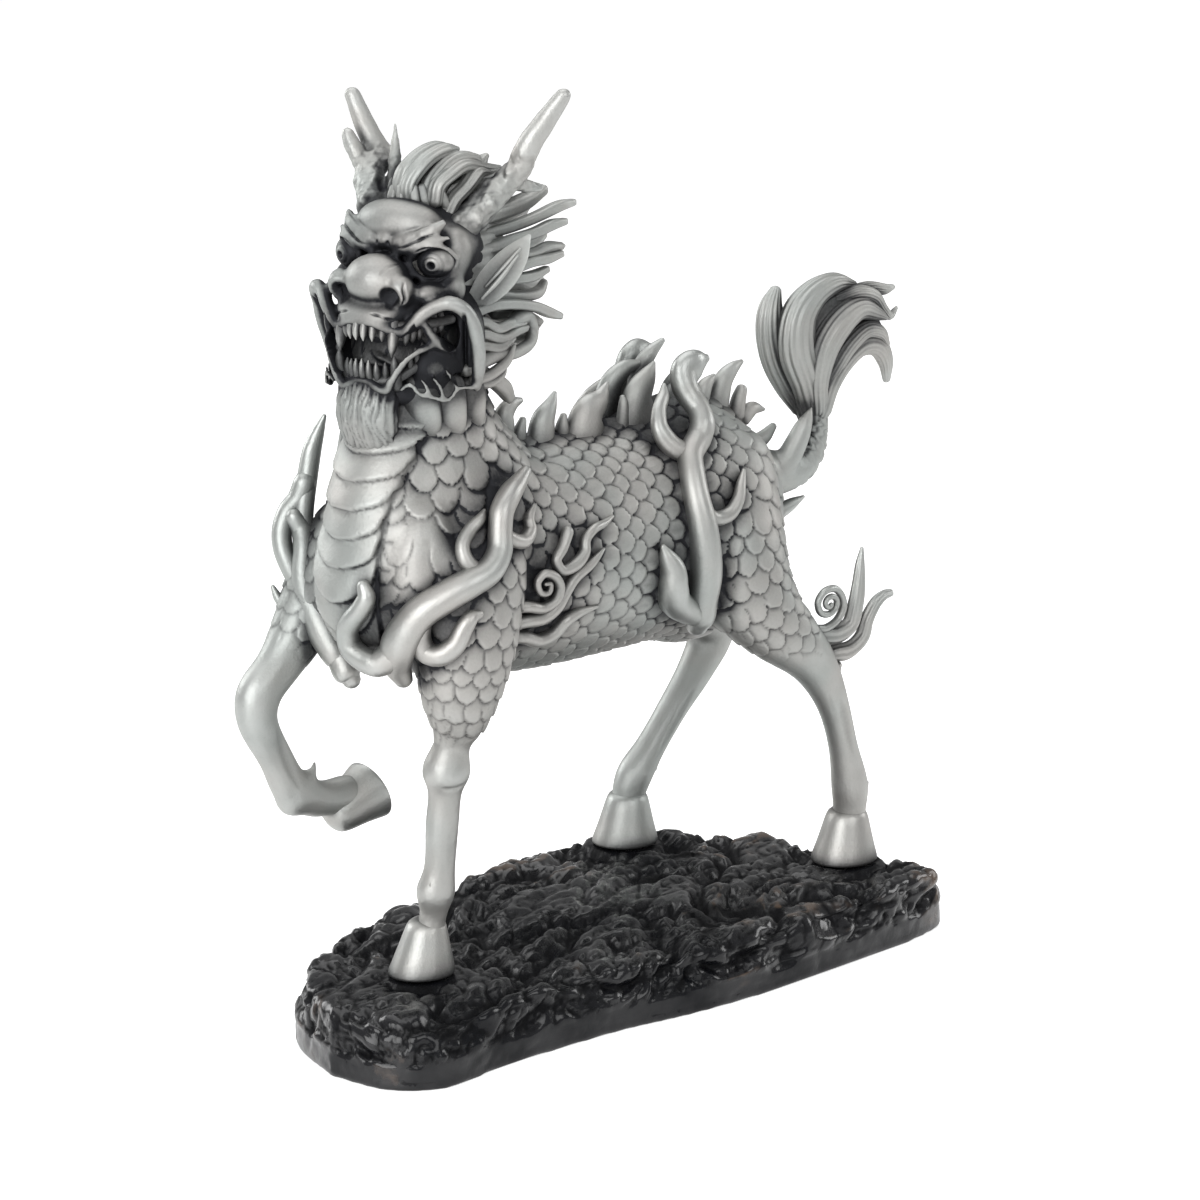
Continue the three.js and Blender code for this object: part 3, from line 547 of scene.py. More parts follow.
def scaled_where(skin, plates):
    """Where scales show: not on the plates, the lower legs or the tail."""
    x, y, z = skin.place.T
    foreleg = ramp(z, 55, 59)
    raised = np.where((x < -66) & (y > 10), ramp(x + 0.9 * (z - 75), -76, -70), 1.0)
    hindleg = np.where(x > 30, ramp(z, 55, 63), 1.0)
    hock = np.where(x > 55, ramp(z, 62, 70), 1.0)
    breast = 1 - 0.45 * ramp(-x, 56, 66) * ramp(116 - z, 0, 10)
    head = ramp(156 - z, 0, 6)
    tail = 1 - ramp(x, 66, 70) * ramp(z, 80, 90)
    return foreleg * raised * hindleg * hock * breast * head * tail * (1 - np.clip(plates * 1.3, 0, 1))


def carve_body():
    skin = fused(body_forms(), 1.05, 14, legs_thin, halve=True)
    for line, reach, height in (
            # the hollows of the flank and stifle, and the groove behind the shoulder
            ([(-30, -25, 112), (-36, -26, 98), (-38, -25, 84), (-40, -22, 74)], 6, -1.0),
            ([(24, -24, 104), (22, -26, 92), (24, -25, 78), (30, -22, 66)], 7, -1.1),
            ([(-30, 25, 112), (-38, 26, 98), (-42, 25, 84)], 6, -1.0),
            ([(30, 24, 104), (30, 26, 92), (34, 25, 78)], 7, -1.1),
            # tendons behind the cannon bones
            ([(-50.6, -13.4, 42), (-49.8, -12.2, 30), (-50.4, -11, 22)], 1.5, -0.45),
            ([(-56.2, -16.6, 42), (-55.2, -15.4, 30), (-55.4, -13.6, 22)], 1.5, -0.35),
            ([(62.8, -26.4, 46), (66.4, -26, 38), (70, -25.6, 28)], 1.6, -0.45),
            ([(59.4, -26.6, 47), (63, -26.4, 38), (66.6, -25.6, 28)], 1.4, -0.35),
            ([(-79, 16, 58), (-76, 16, 49), (-72, 16, 41)], 1.6, -0.45),
            ([(62, 21.4, 38), (56, 22, 30), (49, 22.6, 21)], 1.6, -0.45),
            # creases at the knees
            ([(-59.6, -17, 54), (-57, -20.6, 53), (-53, -21, 54)], 0.9, -0.4),
            ([(-59.4, -16, 47), (-57, -19.4, 46), (-53, -19.6, 47)], 0.9, -0.35)):
        # Painted shade darkens each of these hollows and creases a little.
        skin.stroke(line, reach, height, shade_and_patina=0.25)
    skin.feel()
    plates = chest_relief(skin)
    scale_relief(skin, scaled_where(skin, plates))
    return skin.done()


# Standing hooves: place, half width of the sole and of the coronet, height, lean,
# and half width of the bed in the rock
STANDING_HOOVES = (
    (-57.4, -8.8, 7.5, 4.5, 12, 1.6, 8),
    (72.5, -21, 8.1, 5, 12.6, 0.6, 8.3),
    (43, 27, 8.1, 5, 12.6, 0.6, 8.3),
)


def hooves():
    """Straight-sided hooves that widen to the ground, their toes further out than their heels."""
    forms = []

    def hoof(sole, coronet, height, lean):
        profile = [(0, 0), (sole * 0.9, 0), (sole * 0.985, 0.15), (sole, 0.6), (sole * 0.93, height * 0.2),
                   (sole * 0.82, height * 0.45),
                   (coronet * 1.14, height * 0.76), (coronet * 1.03, height * 0.92),
                   (coronet * 0.88, height * 1.02), (0, height * 1.12)]
        bm = bmesh.new()
        verts = [bm.verts.new((r, 0, z)) for r, z in profile]
        edges = [bm.edges.new(pair) for pair in zip(verts, verts[1:])]
        bmesh.ops.spin(bm, geom=verts + edges, axis=(0, 0, 1), cent=(0, 0, 0), steps=40, angle=2 * math.pi,
                       use_merge=True)
        bmesh.ops.remove_doubles(bm, verts=bm.verts, dist=0.01)
        for vert in bm.verts:
            down = 1 - vert.co.z / (height * 1.12)
            if vert.co.x < 0:
                vert.co.x *= 1 + 0.16 * down
            vert.co.x += lean * (1 - down)
        bmesh.ops.recalc_face_normals(bm, faces=bm.faces)
        return as_mesh(bm)

    for x, y, sole, coronet, height, lean, _ in STANDING_HOOVES:
        forms.append(moved(hoof(sole, coronet, height, lean), Matrix.Translation((x, y, 0))))
    forms.append(moved(hoof(7, 4.5, 13, 0), Matrix.Translation((-47.6, 20,
                                                                35.8)) @ Matrix.Rotation(-math.radians(112),
                                                                                         4, "Y")))
    return gathered([finished_by(form, "SUBSURF", levels=1, render_levels=1) for form in forms])


# Head, laid out forward, left and up from a point between the eyes

def head_forms():
    wide = round_section(24)
    big = [
        ball((-11, 0, 0.4), (12, 15.4, 11.8)),
        ball((-12, 0, -13), (11.6, 15, 16)),
        tube([(-14, 0, -6, 15.4, 9), (-4, 0, -8, 13, 7), (3, 0, -9.5, 11.4, 5.5), (8, 0, -10.6, 9.6, 3.4),
              (11, 0, -11.4, 7.2, 2)],
             5, section=wide),
        ball((-3.2, 0, 7.6), (6.5, 11.2, 5.5)),
        tube([(-14, 0, -28, 15, 7), (-6, 0, -28.6, 14.6, 5.4), (2, 0, -28.8, 12.4, 4.2),
              (7, 0, -28.4, 9.2, 3.2), (9.6, 0, -27.6, 5.6, 2)],
             5, section=wide),
    ]
    pairs = [
        ball((-1, 11, -22.4), (7, 4.4, 6.6)),
        ball((-8, 14.4, -17), (4.6, 4.4, 9)),
        ball((-6.4, 12.6, 1), (4.6, 3.8, 6.4)),
        ball((2.6, 12, -6.2), (4.2, 3.4, 2.6)),
        ball((-3, 15, -6), (3, 2.8, 3.6)),
    ]
    return big + both_sides(pairs)


def head_details():
    forms = [
        # the ball of the nose, and its sunk bridge
        ball((5.8, 0.7, -3.9), (6.5, 8, 5.9)),
        tube([(-1, 0, -1, 4, 3), (3, 0, -2, 4.4, 3.4)], 5),
        ball((1.7, 0, 4.3), (2, 2.4, 1.9)),
        # the upper lip, from hoop to hoop
        tube(mirrored_line([(10.9, 0, -12.3, 1.3, 1.4), (10.9, 3.2, -12.3, 1.3, 1.4),
                            (9.4, 6, -13.7, 1.3, 1.4), (7.9, 9, -14.3, 1.4, 1.5),
                            (7.5, 11, -12.6, 1.5, 1.6), (6.4, 13.5, -9.8, 1.6, 1.6),
                            (4.4, 16, -8.2, 1.6, 1.6), (3.4, 18, -7.6, 1.7, 1.7),
                            (1.5, 20, -8.7, 1.7, 1.7), (-1, 21, -12, 1.7, 1.7), (-2.2, 21.3, -15.5, 1.7, 1.7),
                            (-3.6, 20.9, -19.8, 1.6, 1.7),
                            (-4.7, 20, -24, 1.5, 1.6), (-6, 18.4, -27.9, 1.2, 1.2)]), 5, side=(0.2, 0.1, 1)),
        # the lower lip
        tube(mirrored_line([(10.9, 0, -25.3, 1.1, 1.1), (10.6, 2, -25.9, 1.1, 1.1),
                            (10.8, 4, -26.9, 1.1, 1.1), (10.3, 5.8, -27.3, 1.1, 1.1),
                            (10.5, 7.4, -25, 1.1, 1.1), (9.9, 9.2, -21.8, 1.1, 1.1), (8.9, 10.8, -19.6, 1, 1),
                            (7.2, 12.4, -18.2, 1, 1),
                            (4.4, 13.8, -17.4, 0.9, 0.9)]), 5, side=(0.2, 0.1, 1)),
        ball((5, 0, -28), (3.4, 7, 2.6)),
    ]
    pairs = [
        # brow and the fold beneath it, lids, nostril wing
        tube([(1.5, 2, 3.4, 1.7, 1.6), (1.5, 4.6, 4, 2.1, 1.9), (1.1, 6.6, 4.6, 2.1, 1.9),
              (0.4, 9.2, 5.8, 2, 1.8),
              (-0.6, 11.4, 7.4, 1.7, 1.5), (-1.8, 13, 8.8, 0.9, 0.8)], 5, side=(0, 0, 1)),
        tube([(2.6, 3.4, 1.8, 0.8, 0.8), (2.9, 6.2, 2.8, 0.9, 0.9), (2.2, 9.2, 4.2, 0.9, 0.9),
              (0.8, 12, 5.2, 0.8, 0.8), (-1.4, 14.6, 5.6, 0.6, 0.6)], 5),
        tube([(2.4, 6.7, 0.5, 0.7, 0.7), (2.5, 8.9, 2.7, 0.8, 0.8), (1.4, 11.9, 4, 0.9, 0.8),
              (-1.2, 14.4, 3.1, 0.8, 0.8), (-3.2, 15.6, 0.8, 0.6, 0.6)], 5),
        tube([(2.2, 6.6, 0.1, 0.7, 0.7), (2.4, 8.3, -2.3, 0.8, 0.8), (1.3, 10.9, -3.6, 0.9, 0.8),
              (-1, 13.5, -3.1, 0.8, 0.8), (-3.2, 15.4, -0.4, 0.6, 0.6)], 5),
        ball((7.4, 8.1, -5.4), (3.6, 3.1, 3.6)),
        # the sinew inside the hoop
        tube([(5.8, 13.4, -12.6, 1, 1), (4.4, 14.2, -15.4, 1.2, 1.2), (2.4, 14.8, -17.4, 1.3, 1.3),
              (-1.6, 16, -19.2, 0.6, 0.6)], 5),
        # the frill under the hoop, and the small crescents above it
        tube([(9.3, 9, -26.9, 0.6, 0.6), (9, 11.5, -25.4, 0.6, 0.6), (7.4, 12.8, -27.8, 0.6, 0.6),
              (5.5, 14.2, -28.5, 0.6, 0.6),
              (1.2, 16.2, -29.6, 0.6, 0.6), (-0.7, 17.4, -27.4, 0.6, 0.6), (-4.8, 19, -27.6, 0.6, 0.6)], 5),
        tube([(5.5, 14.2, -28.3, 0.5, 0.5), (6.1, 13.8, -26.4, 0.6, 0.6), (7, 13, -24.6, 0.35, 0.35)], 5),
        tube([(2.2, 15.6, -29.2, 0.5, 0.5), (3, 15.2, -26.8, 0.6, 0.6), (4.6, 14.4, -24.4, 0.35, 0.35)], 5),
        tube([(-0.6, 17.2, -27.6, 0.5, 0.5), (0.2, 16.6, -25.4, 0.6, 0.6), (1.8, 15.8, -23, 0.35, 0.35)], 5),
    ]
    return forms + both_sides(pairs)


def mirrored_line(half):
    """A line from the far side through the middle to the near side."""
    return [(x, -y, *rest) for x, y, *rest in half[:0:-1]] + list(half)


def both_strokes(skin, strokes):
    """The same strokes on both sides of the head."""
    for line, reach, height, more in strokes:
        for sign in (1, -1):
            skin.stroke([(x, y * sign, z) for x, y, z in line], reach, height, **more)


# How the camera sees the head: pixels across and up for a millimetre forward, left and up,
# and for a whole millimetre either way
ACROSS_FORWARD, ACROSS_LEFT, ACROSS_WHOLE = -2.49, 3.69, 4.45
HIGH_FORWARD, HIGH_LEFT, HIGH_UP, HIGH_WHOLE = -0.926, -0.623, 4.15, 4.33
# The way, forward, left and up, that the hollows of the cheek are sunk against
SUNK = (0.8, 0.55, 0.1)


def carve_head():
    first = fused(head_forms(), 0.8, 9)
    skin = fused([first.done()] + head_details(), 0.5, 2, halve=True)
    x, y, z = skin.place.T
    # The open mouth is cut back between the lips
    floor = np.interp(np.abs(y), (0, 6, 7.4, 9.2, 10.8, 12.4, 13.8),
                      (-24.6, -24.8, -24, -21.2, -19.2, -17.8, -17))
    roof = np.interp(np.abs(y), (0, 6, 9, 11, 12.4, 13.8), (-14.8, -15.2, -15.8, -14, -12, -10.6))
    mouth = np.clip(1 - ((2 * z - roof - floor) / (roof - floor + 0.6)) ** 2, 0, 1) * ramp(x, -2, 5)
    mouth *= ramp(12.6 - np.abs(y), 0, 1.4)
    skin.place[:, 0] -= mouth * np.clip(x + 4, 0, 15) * 0.92
    # Painted shade inside the open mouth.
    skin.shade_and_patina = np.maximum(skin.shade_and_patina, mouth * 1.2)
    skin.feel()
    # Two deep hollows in the cheek inside each hoop, and the seam beside them, each darkened with painted
    # shade
    for sign in (1, -1):
        forward, left, up = skin.place[:, 0], skin.place[:, 1] * sign, skin.place[:, 2]
        sink = np.array(SUNK) * (1, sign, 1)
        across = (ACROSS_LEFT * left + ACROSS_FORWARD * forward) / ACROSS_WHOLE
        high = (HIGH_UP * up + HIGH_FORWARD * forward + HIGH_LEFT * left) / HIGH_WHOLE
        for middle, level, wide, tall, deep in ((12.9, -16.6, 2.1, 4.2, 7), (14.9, -26.4, 1.7, 1.5, 4)):
            bowl = np.clip(1 - ((across - middle) / wide) ** 2 - ((high - level) / tall) ** 2, 0, 1) ** 0.5
            bowl *= (left > 5) & (forward > -8) & (forward < 6) & (up < -8)
            skin.place -= sink * (bowl * deep)[:, None]
            skin.shade_and_patina = np.maximum(skin.shade_and_patina, bowl * 1.4)
        seam = np.exp(-((across - 16.3) / 0.45) ** 2) * ramp(high, -27, -25) * ramp(-high, 12.4, 14)
        seam *= (left > 8) & (forward > -9) & (forward < 6)
        skin.place -= sink * (seam * 1.6)[:, None]
        skin.shade_and_patina = np.maximum(skin.shade_and_patina, seam)
    skin.feel()
    both_strokes(skin, [
        # nostrils, darkened inside with painted shade
        ([(10.4, 7.4, -6.6)], 3.2, -3, {"shade_and_patina": 1.5, "taper": 0}),
        ([(9, 7.4, -6.4)], 2.2, -1.6, {"shade_and_patina": 1.5, "taper": 0}),
    ])
    skin.feel()
    # Grooves of the face, each darkened with painted shade and patina.
    both_strokes(skin, [
        # the socket line round the eye
        ([(3.2, 6.8, -0.1), (3.6, 8.6, 2.1), (2.5, 11.5, 3.4), (-0.4, 14.3, 2.6), (-2.2, 15.8, 0.4)], 0.6,
         -0.6, {"shade_and_patina": 0.9}),
        ([(3.2, 6.8, -0.3), (3.6, 8.4, -1.6), (2.5, 10.9, -2.8), (-0.2, 13.7, -2.5), (-2.2, 15.8, -0.2)], 0.6,
         -0.5, {"shade_and_patina": 0.8}),
        # under the lower lid, and between the two cheeks
        ([(4.6, 6.8, -3.4), (3.8, 8.6, -4.9), (2.2, 11.2, -4.6), (0, 13.6, -3.4), (-2.4, 16, -1.6)], 0.7,
         -0.6, {"shade_and_patina": 0.8}),
        ([(0.6, 14, -3.8), (-0.2, 15, -6.5), (0.4, 16, -9)], 0.7, -0.8, {"shade_and_patina": 0.8}),
        ([(5.8, 10.6, -8.6), (4.4, 13.4, -8.6), (2.4, 15.6, -8), (-0.4, 17.6, -8.6), (-2.6, 18.6, -11)], 0.7,
         -0.7, {"shade_and_patina": 0.8}),
        # between brow and dome
        ([(2.4, 1.6, 6.2), (1.8, 5, 6.5), (1, 8.6, 7.6), (-0.4, 11.4, 9), (-2.2, 13.4, 10.2)], 0.8, -0.3,
         {"shade_and_patina": 0.4}),
        ([(3.4, 1.5, 4.8), (3.4, 1.7, 2.6)], 0.5, -0.8, {"shade_and_patina": 0.8}),
        ([(3.4, 2.8, 2.9), (3.6, 5.6, 3.4), (3, 8.4, 4.8), (1.4, 11.4, 6.2), (-0.4, 13.8, 7)], 0.5, -0.5,
         {"shade_and_patina": 0.7}),
        # the gap above the ball of the nose, and its side
        ([(4.2, 0, 1.6), (4.3, 3, 1.3), (4, 5.6, 0.2)], 0.8, -1.0, {"shade_and_patina": 1.0}),
        ([(5, 6.4, 0.2), (7.4, 5.9, -0.2), (9.8, 5, -1.2), (11.2, 4.2, -2.8)], 0.6, -0.5, {"shade_and_patina": 0.6}),
        # round the nostril's wing
        ([(5.6, 8.8, 0), (8, 10.2, -1.6), (9.6, 10.6, -4.2), (9, 10.4, -7.4), (9.4, 8.8, -9.4),
          (10.4, 6.4, -9.8)], 0.8, -0.8, {"shade_and_patina": 0.9}),
        # wrinkles above the lip
        ([(12, 0.6, -8.6), (11.4, 3.6, -8.5), (10.4, 6, -9.3)], 0.6, -0.6, {"shade_and_patina": 0.8}),
        ([(12.4, 0.4, -10.2), (11.9, 3.4, -10.1), (10.6, 6.4, -11.2), (9, 9, -11.8), (8.4, 10.6, -10.4)], 0.5,
         -0.5, {"shade_and_patina": 0.7}),
        ([(12.4, 1, -13.6), (11.8, 4.2, -14.2), (8.9, 9, -15.8)], 0.5, -0.3, {"shade_and_patina": 0.5}),
        # in front of the ear
        ([(-6, 17.4, 6.6), (-5.6, 18, 0), (-5.4, 18.2, -8)], 0.7, -0.7, {"shade_and_patina": 0.8}),
        ([(-2.6, 16.4, 6.4), (-2.4, 17.2, 2), (-2.6, 17.6, -2.4)], 0.6, -0.35, {"shade_and_patina": 0.4}),
        # fine strands down the strap of the hoop
        ([(2.8, 19.4, -7.2), (-0.2, 21.9, -11), (-1.4, 22.4, -15.4), (-2.9, 22, -20)], 0.35, -0.2,
         {"shade_and_patina": 0.35}),
    ])
    skin.feel()
    # Every spot of the head is darkened at least a little.
    skin.shade_and_patina = np.maximum(skin.shade_and_patina, 0.32)
    # Rough rubbed metal along the brows, and faint lumps elsewhere
    x, y, z = skin.place.T
    brow = np.exp(-((z - 3.4 - 0.032 * y ** 2) / 2) ** 2) * ramp(x, -4, -1) * ramp(14.5 - np.abs(y), 0,
                                                                                   2) * ramp(np.abs(y), 1, 3)
    skin.push(brow * 0.14 * uneven(skin.place, 0.9) + 0.05 * uneven(skin.place, 1.6, 3.0))
    skin.feel()
    return moved(skin.done(), HEAD_PLACE)


def beard():
    """A smooth fluted column under the lower lip, and the broad folds of the throat beside it."""
    column = tube([(6.2, -0.4, -25, 7, 4), (8, -0.5, -28.4, 7.6, 4.2), (8.8, -0.6, -33, 7.8, 4.4),
                   (8.2, -0.6, -37.6, 7.2, 4),
                   (6.8, -0.4, -41.6, 6, 3.4), (4.8, -0.2, -45, 4.4, 2.4)], 8,
                  section=stranded_section(120, 17, 0.045), cap=0.5)
    skin = fused([column], 0.4, 1)
    _, y, z = skin.place.T
    sway = y + 0.5 * np.sin(0.35 * z + 0.8) + 0.3 * np.sin(0.8 * z + y)
    strand = np.abs(np.sin(sway * 2.4 + 0.6 * uneven(skin.place, 4)))
    skin.push(0.3 * (strand - 0.6) + 0.14 * uneven(skin.place, 1.6))
    # Painted shade between the strands, over a slight darkening of the whole column.
    skin.shade_and_patina = 0.3 + 0.5 * np.clip(1 - strand / 0.35, 0, 1)
    fold = stranded_section(40, 5, 0.03)
    pairs = [
        tube([(2.6, 9, -26, 3.6, 2.2), (2.6, 10, -31, 4, 2.4), (0.8, 9.6, -36.6, 3.6, 2.2),
              (-0.6, 8.8, -41, 1.4, 1)], 7,
             side=(-0.5, 0.86, 0), section=fold),
        tube([(-3, 13, -27, 3.6, 2.2), (-3, 13.4, -32, 3.8, 2.2), (-4.6, 12.8, -37.6, 3, 1.8),
              (-5.6, 12, -41.6, 1, 0.8)], 7,
             side=(-0.7, 0.7, 0), section=fold),
        tube([(-9, 14.6, -28, 3.2, 2), (-9.4, 14.8, -32.6, 3.2, 2), (-10.6, 14.2, -37, 2.4, 1.4),
              (-11.2, 13.6, -40, 0.8, 0.6)], 7,
             side=(-0.8, 0.6, 0), section=fold),
    ]
    return [moved(mesh, HEAD_PLACE) for mesh in [skin.done()] + both_sides(pairs)]


def teeth():
    forms = []
    tooth = round_section(12)

    def point(x, y, z, length, radius, lean=0.0):
        way = math.copysign(1, length)
        return tube([(x - 1.2, y * 0.94, z - way * 2, radius, radius),
                     (x - 0.2, y, z + length * 0.25, radius, radius * 0.95),
                     (x + lean * 0.5, y, z + length * 0.7, radius * 0.72, radius * 0.7),
                     (x + lean, y * 0.99, z + length, 0.16, 0.16)], 3, section=tooth)

    for y in (-4.9, -3.0, -1.0, 1.0, 3.0, 4.9):
        x = 11.9 - 0.07 * y * y
        forms.append(point(x, y, -13, -3.4, 0.95))
    for y in (-5.2, -3.4, -1.7, 0, 1.7, 3.4, 5.2):
        x = 11.2 - 0.06 * y * y
        forms.append(point(x, y, -24.6, 3.6 + 0.3 * math.cos(y * 3), 0.85))
    pairs = [point(9.3, 7.1, -13.8, -6, 1.35, 0.4), point(9.2, 7.6, -24.6, 5, 1.2, 0.3)]
    for k in range(6):
        pairs.append(point(7.6 - 1.5 * k, 9.4 + 0.75 * k, -14.6 + 0.25 * k, -2.6 + 0.18 * k, 0.85))
    for k in range(4):
        pairs.append(point(7.0 - 1.4 * k, 9.8 + 0.8 * k, -20.9 + 0.9 * k, 2.0, 0.7))
    tongue = tube([(-6, 0, -23.4, 5, 1.6), (-1, 0, -23, 4.6, 1.5), (2.6, 0, -23.8, 3, 1)], 5,
                  section=channel_section(20, -0.5), side=(0, 1, 0))
    gums = tube(mirrored_line([(10.4, 0, -12.6, 1.2, 1.4), (8.6, 6, -13, 1.2, 1.4), (3, 11.4, -13, 1.2, 1.4),
                               (-3, 14, -12.6, 1, 1.2)]), 5,
                side=(0.2, 0.1, 1))
    lower = tube(mirrored_line([(9.8, 0, -25.4, 1.2, 1.3), (8.4, 6, -25.2, 1.2, 1.3),
                                (4, 10.6, -21.8, 1.1, 1.2), (-2, 13.4, -19.4, 1, 1.1)]), 5,
                 side=(0.2, 0.1, 1))
    return [moved(mesh, HEAD_PLACE) for mesh in forms + both_sides(pairs) + [tongue, gums, lower]]


def eyes():
    """Bulging eyes with a ring and a drilled pupil."""
    forms = []
    for sign in (1, -1):
        bm = bmesh.new()
        bmesh.ops.create_uvsphere(bm, u_segments=72, v_segments=48, radius=1)
        shade = bm.verts.layers.float.new("shade_and_patina")
        look = Vector((0.93, 0.3 * sign, -0.12)).normalized()
        turn = Vector((0, 0, 1)).rotation_difference(look).to_matrix().to_4x4()
        for vert in bm.verts:
            off = math.hypot(vert.co.x, vert.co.y) if vert.co.z > 0 else 9
            pit = 0.42 * math.exp(-(off / 0.17) ** 4) + 0.05 * math.exp(-((off - 0.5) / 0.06) ** 2)
            vert.co *= 1 - pit
            # Painted shade in the drilled pupil and beside the ring round it; the rest of the eye is darkened
            # a little.
            vert[shade] = max(math.exp(-(off / 0.2) ** 4), 0.75 * math.exp(-((off - 0.62) / 0.12) ** 2),
                              0.3 if off < 0.6 else 0.42)
        place = Matrix.Translation((-1.4, 11.2 * sign, 0.3)) @ Matrix.Diagonal((4.1, 4.3, 4.0, 1)) @ turn
        bmesh.ops.transform(bm, matrix=place, verts=bm.verts)
        forms.append(moved(as_mesh(bm), HEAD_PLACE))
    return forms


def ears():
    """Leaf-shaped ears with a hollow that is ridged along its length."""
    leaf = tube([(-9.6, 15.2, -10, 1, 2), (-12, 17.8, -6.6, 1.4, 3.6), (-15, 20, -2.8, 1.5, 3.8),
                 (-17.8, 21.8, 1, 1.2, 2.6), (-20.2, 23, 4.4, 0.3, 0.4)],
                8, side=(0.75, 0.66, 0), section=channel_section(32, 0.2))
    ridges = [tube([(-11 + dx, 17.2, -7.6 + dz, 0.5, 0.4), (-14 + dx, 20, -3.4 + dz, 0.7, 0.6),
                    (-17.4 + dx * 0.6, 22.2, 1 + dz * 0.6, 0.3, 0.3)],
                   5, side=(0.75, 0.66, 0)) for dx, dz in ((1, -1.2), (-0.6, 1.2))]
    return [moved(mesh, HEAD_PLACE) for mesh in both_sides([leaf] + ridges)]


def whiskers():
    band = tube([
        (-7, 15, -24.6, 1.6, 1.6), (-11, 16.4, -23.2, 1.7, 1.7), (-16, 17, -22.6, 1.5, 1.6),
        (-23, 17.6, -22.8, 1.4, 1.5), (-28.4, 17.4, -21.4, 1.4, 1.4),
        (-29.8, 17, -18.6, 1.4, 1.4), (-28.2, 16.9, -15.9, 1.5, 1.6), (-24.6, 17, -15.5, 1.9, 1.7),
        (-21.6, 17.2, -15.9, 1.5, 1.2)], 7)
    small = [
        tube([(-8, 16.4, -27, 1.3, 1.3), (-13, 17.6, -26.2, 1.3, 1.3), (-17.6, 18.6, -23.8, 1.1, 1.1),
              (-20, 18.8, -21, 0.5, 0.5)], 6),
        tube([(-9, 15.4, -28, 1.2, 1.2), (-14, 16.6, -28.4, 1.2, 1.2), (-18, 17, -27, 0.9, 0.9),
              (-19.2, 17, -25, 0.4, 0.4)], 6),
    ]
    return [moved(mesh, HEAD_PLACE) for mesh in both_sides([band] + small)]


def horn_forms():
    near = [
        (-11, 8.8, 3.6, 4, 4), (-13, 10.6, 6.6, 3.7, 3.9), (-17.6, 12.6, 10.6, 3.4, 3.6),
        (-22.5, 15, 15.2, 3.1, 3.2), (-24.2, 17, 17.8, 2.9, 3),
        (-24.4, 20, 23.6, 2.8, 2.9), (-27.6, 23.6, 30.4, 2.3, 2.4), (-29.4, 26, 34.6, 1.8, 1.9)]
    far = [
        (-6.4, -9, 5, 4, 4), (-7.6, -10.6, 10.6, 3.6, 3.8), (-9.8, -13, 14.7, 3.3, 3.4),
        (-14, -15, 17.4, 3, 3.1), (-16.9, -16, 19.5, 2.8, 2.9),
        (-17.5, -20, 25.6, 2.5, 2.5), (-18, -24, 32.4, 1.9, 1.9)]
    forms = [
        tube(near, 8), tube(far, 8),
        tube([(-10.4, -14.4, 15.4, 2.3, 2.3), (-11.7, -17, 18.5, 2.1, 2.1), (-12, -19.4, 21.8, 2, 2),
              (-12.2, -21, 24.4, 1.6, 1.6)], 6),
        tube([(-9.4, -6, 11, 2.4, 2.2), (-10.9, -7, 14.5, 2, 1.9), (-13.9, -9, 21.6, 1.4, 1.3),
              (-16.8, -11, 27.4, 0.3, 0.3)], 6),
        tube([(-7.3, -5, 12.4, 1.1, 1.6), (-7.3, -5, 14.8, 0.9, 1.4), (-7.9, -5.2, 17, 0.3, 0.4)], 5),
        tube([(-23.6, 15.6, 15.6, 1.9, 1.9), (-29, 16, 13.6, 1.6, 1.6), (-32.2, 17.5, 13, 1, 1)], 5),
        # the snail curl at the near horn's root
        tube([(-14.1 + (3 - 0.26 * n) * math.cos(0.8 * n) * 0.5,
               12.6 + (3 - 0.26 * n) * math.cos(0.8 * n) * 0.72, 7.8 + (3 - 0.26 * n) * math.sin(0.8 * n),
               1 - 0.04 * n, 1 - 0.04 * n) for n in range(10)], 5),
    ]
    for stations in (near, far):
        rows = through(stations[1:5], 3)
        for n, row in enumerate(rows):
            turn = 2.4 * n
            out = np.array([math.cos(turn) * 0.9, math.sin(turn) * 0.9, 0.2]) * row[3]
            forms.append(ball(row[:3] + out, (row[3] * 0.5, row[3] * 0.5, row[3] * 0.62), fine=2))
    return forms


def carve_horns():
    skin = fused(horn_forms(), 0.55, 3, halve=True)
    rough = 1 - ramp(skin.place[:, 2], 19, 25)
    skin.push(rough * (0.2 * uneven(skin.place, 0.9) + 0.08 * uneven(skin.place, 0.45,
                                                                     2.0)) + 0.06 * uneven(skin.place, 1.4,
                                                                                           5.0))
    # Painted shade in the dips of the rough lower horns.
    skin.shade_and_patina = np.maximum(skin.shade_and_patina, rough * np.clip(-uneven(skin.place, 0.9), 0, 1) * 0.35)
    return moved(skin.done(), HEAD_PLACE)


def lock(stations, strands, depth, around, phase, steps=7):
    """A lock of hair with a groove between one strand and the next."""
    return tube(stations, steps, section=stranded_section(around, strands, depth, phase))


GOLDEN_TURN = 2.39996


def wobble(n):
    """An even spread of small offsets between -1 and 1."""
    return math.sin(n * GOLDEN_TURN + 0.7 * math.sin(n * 1.7))


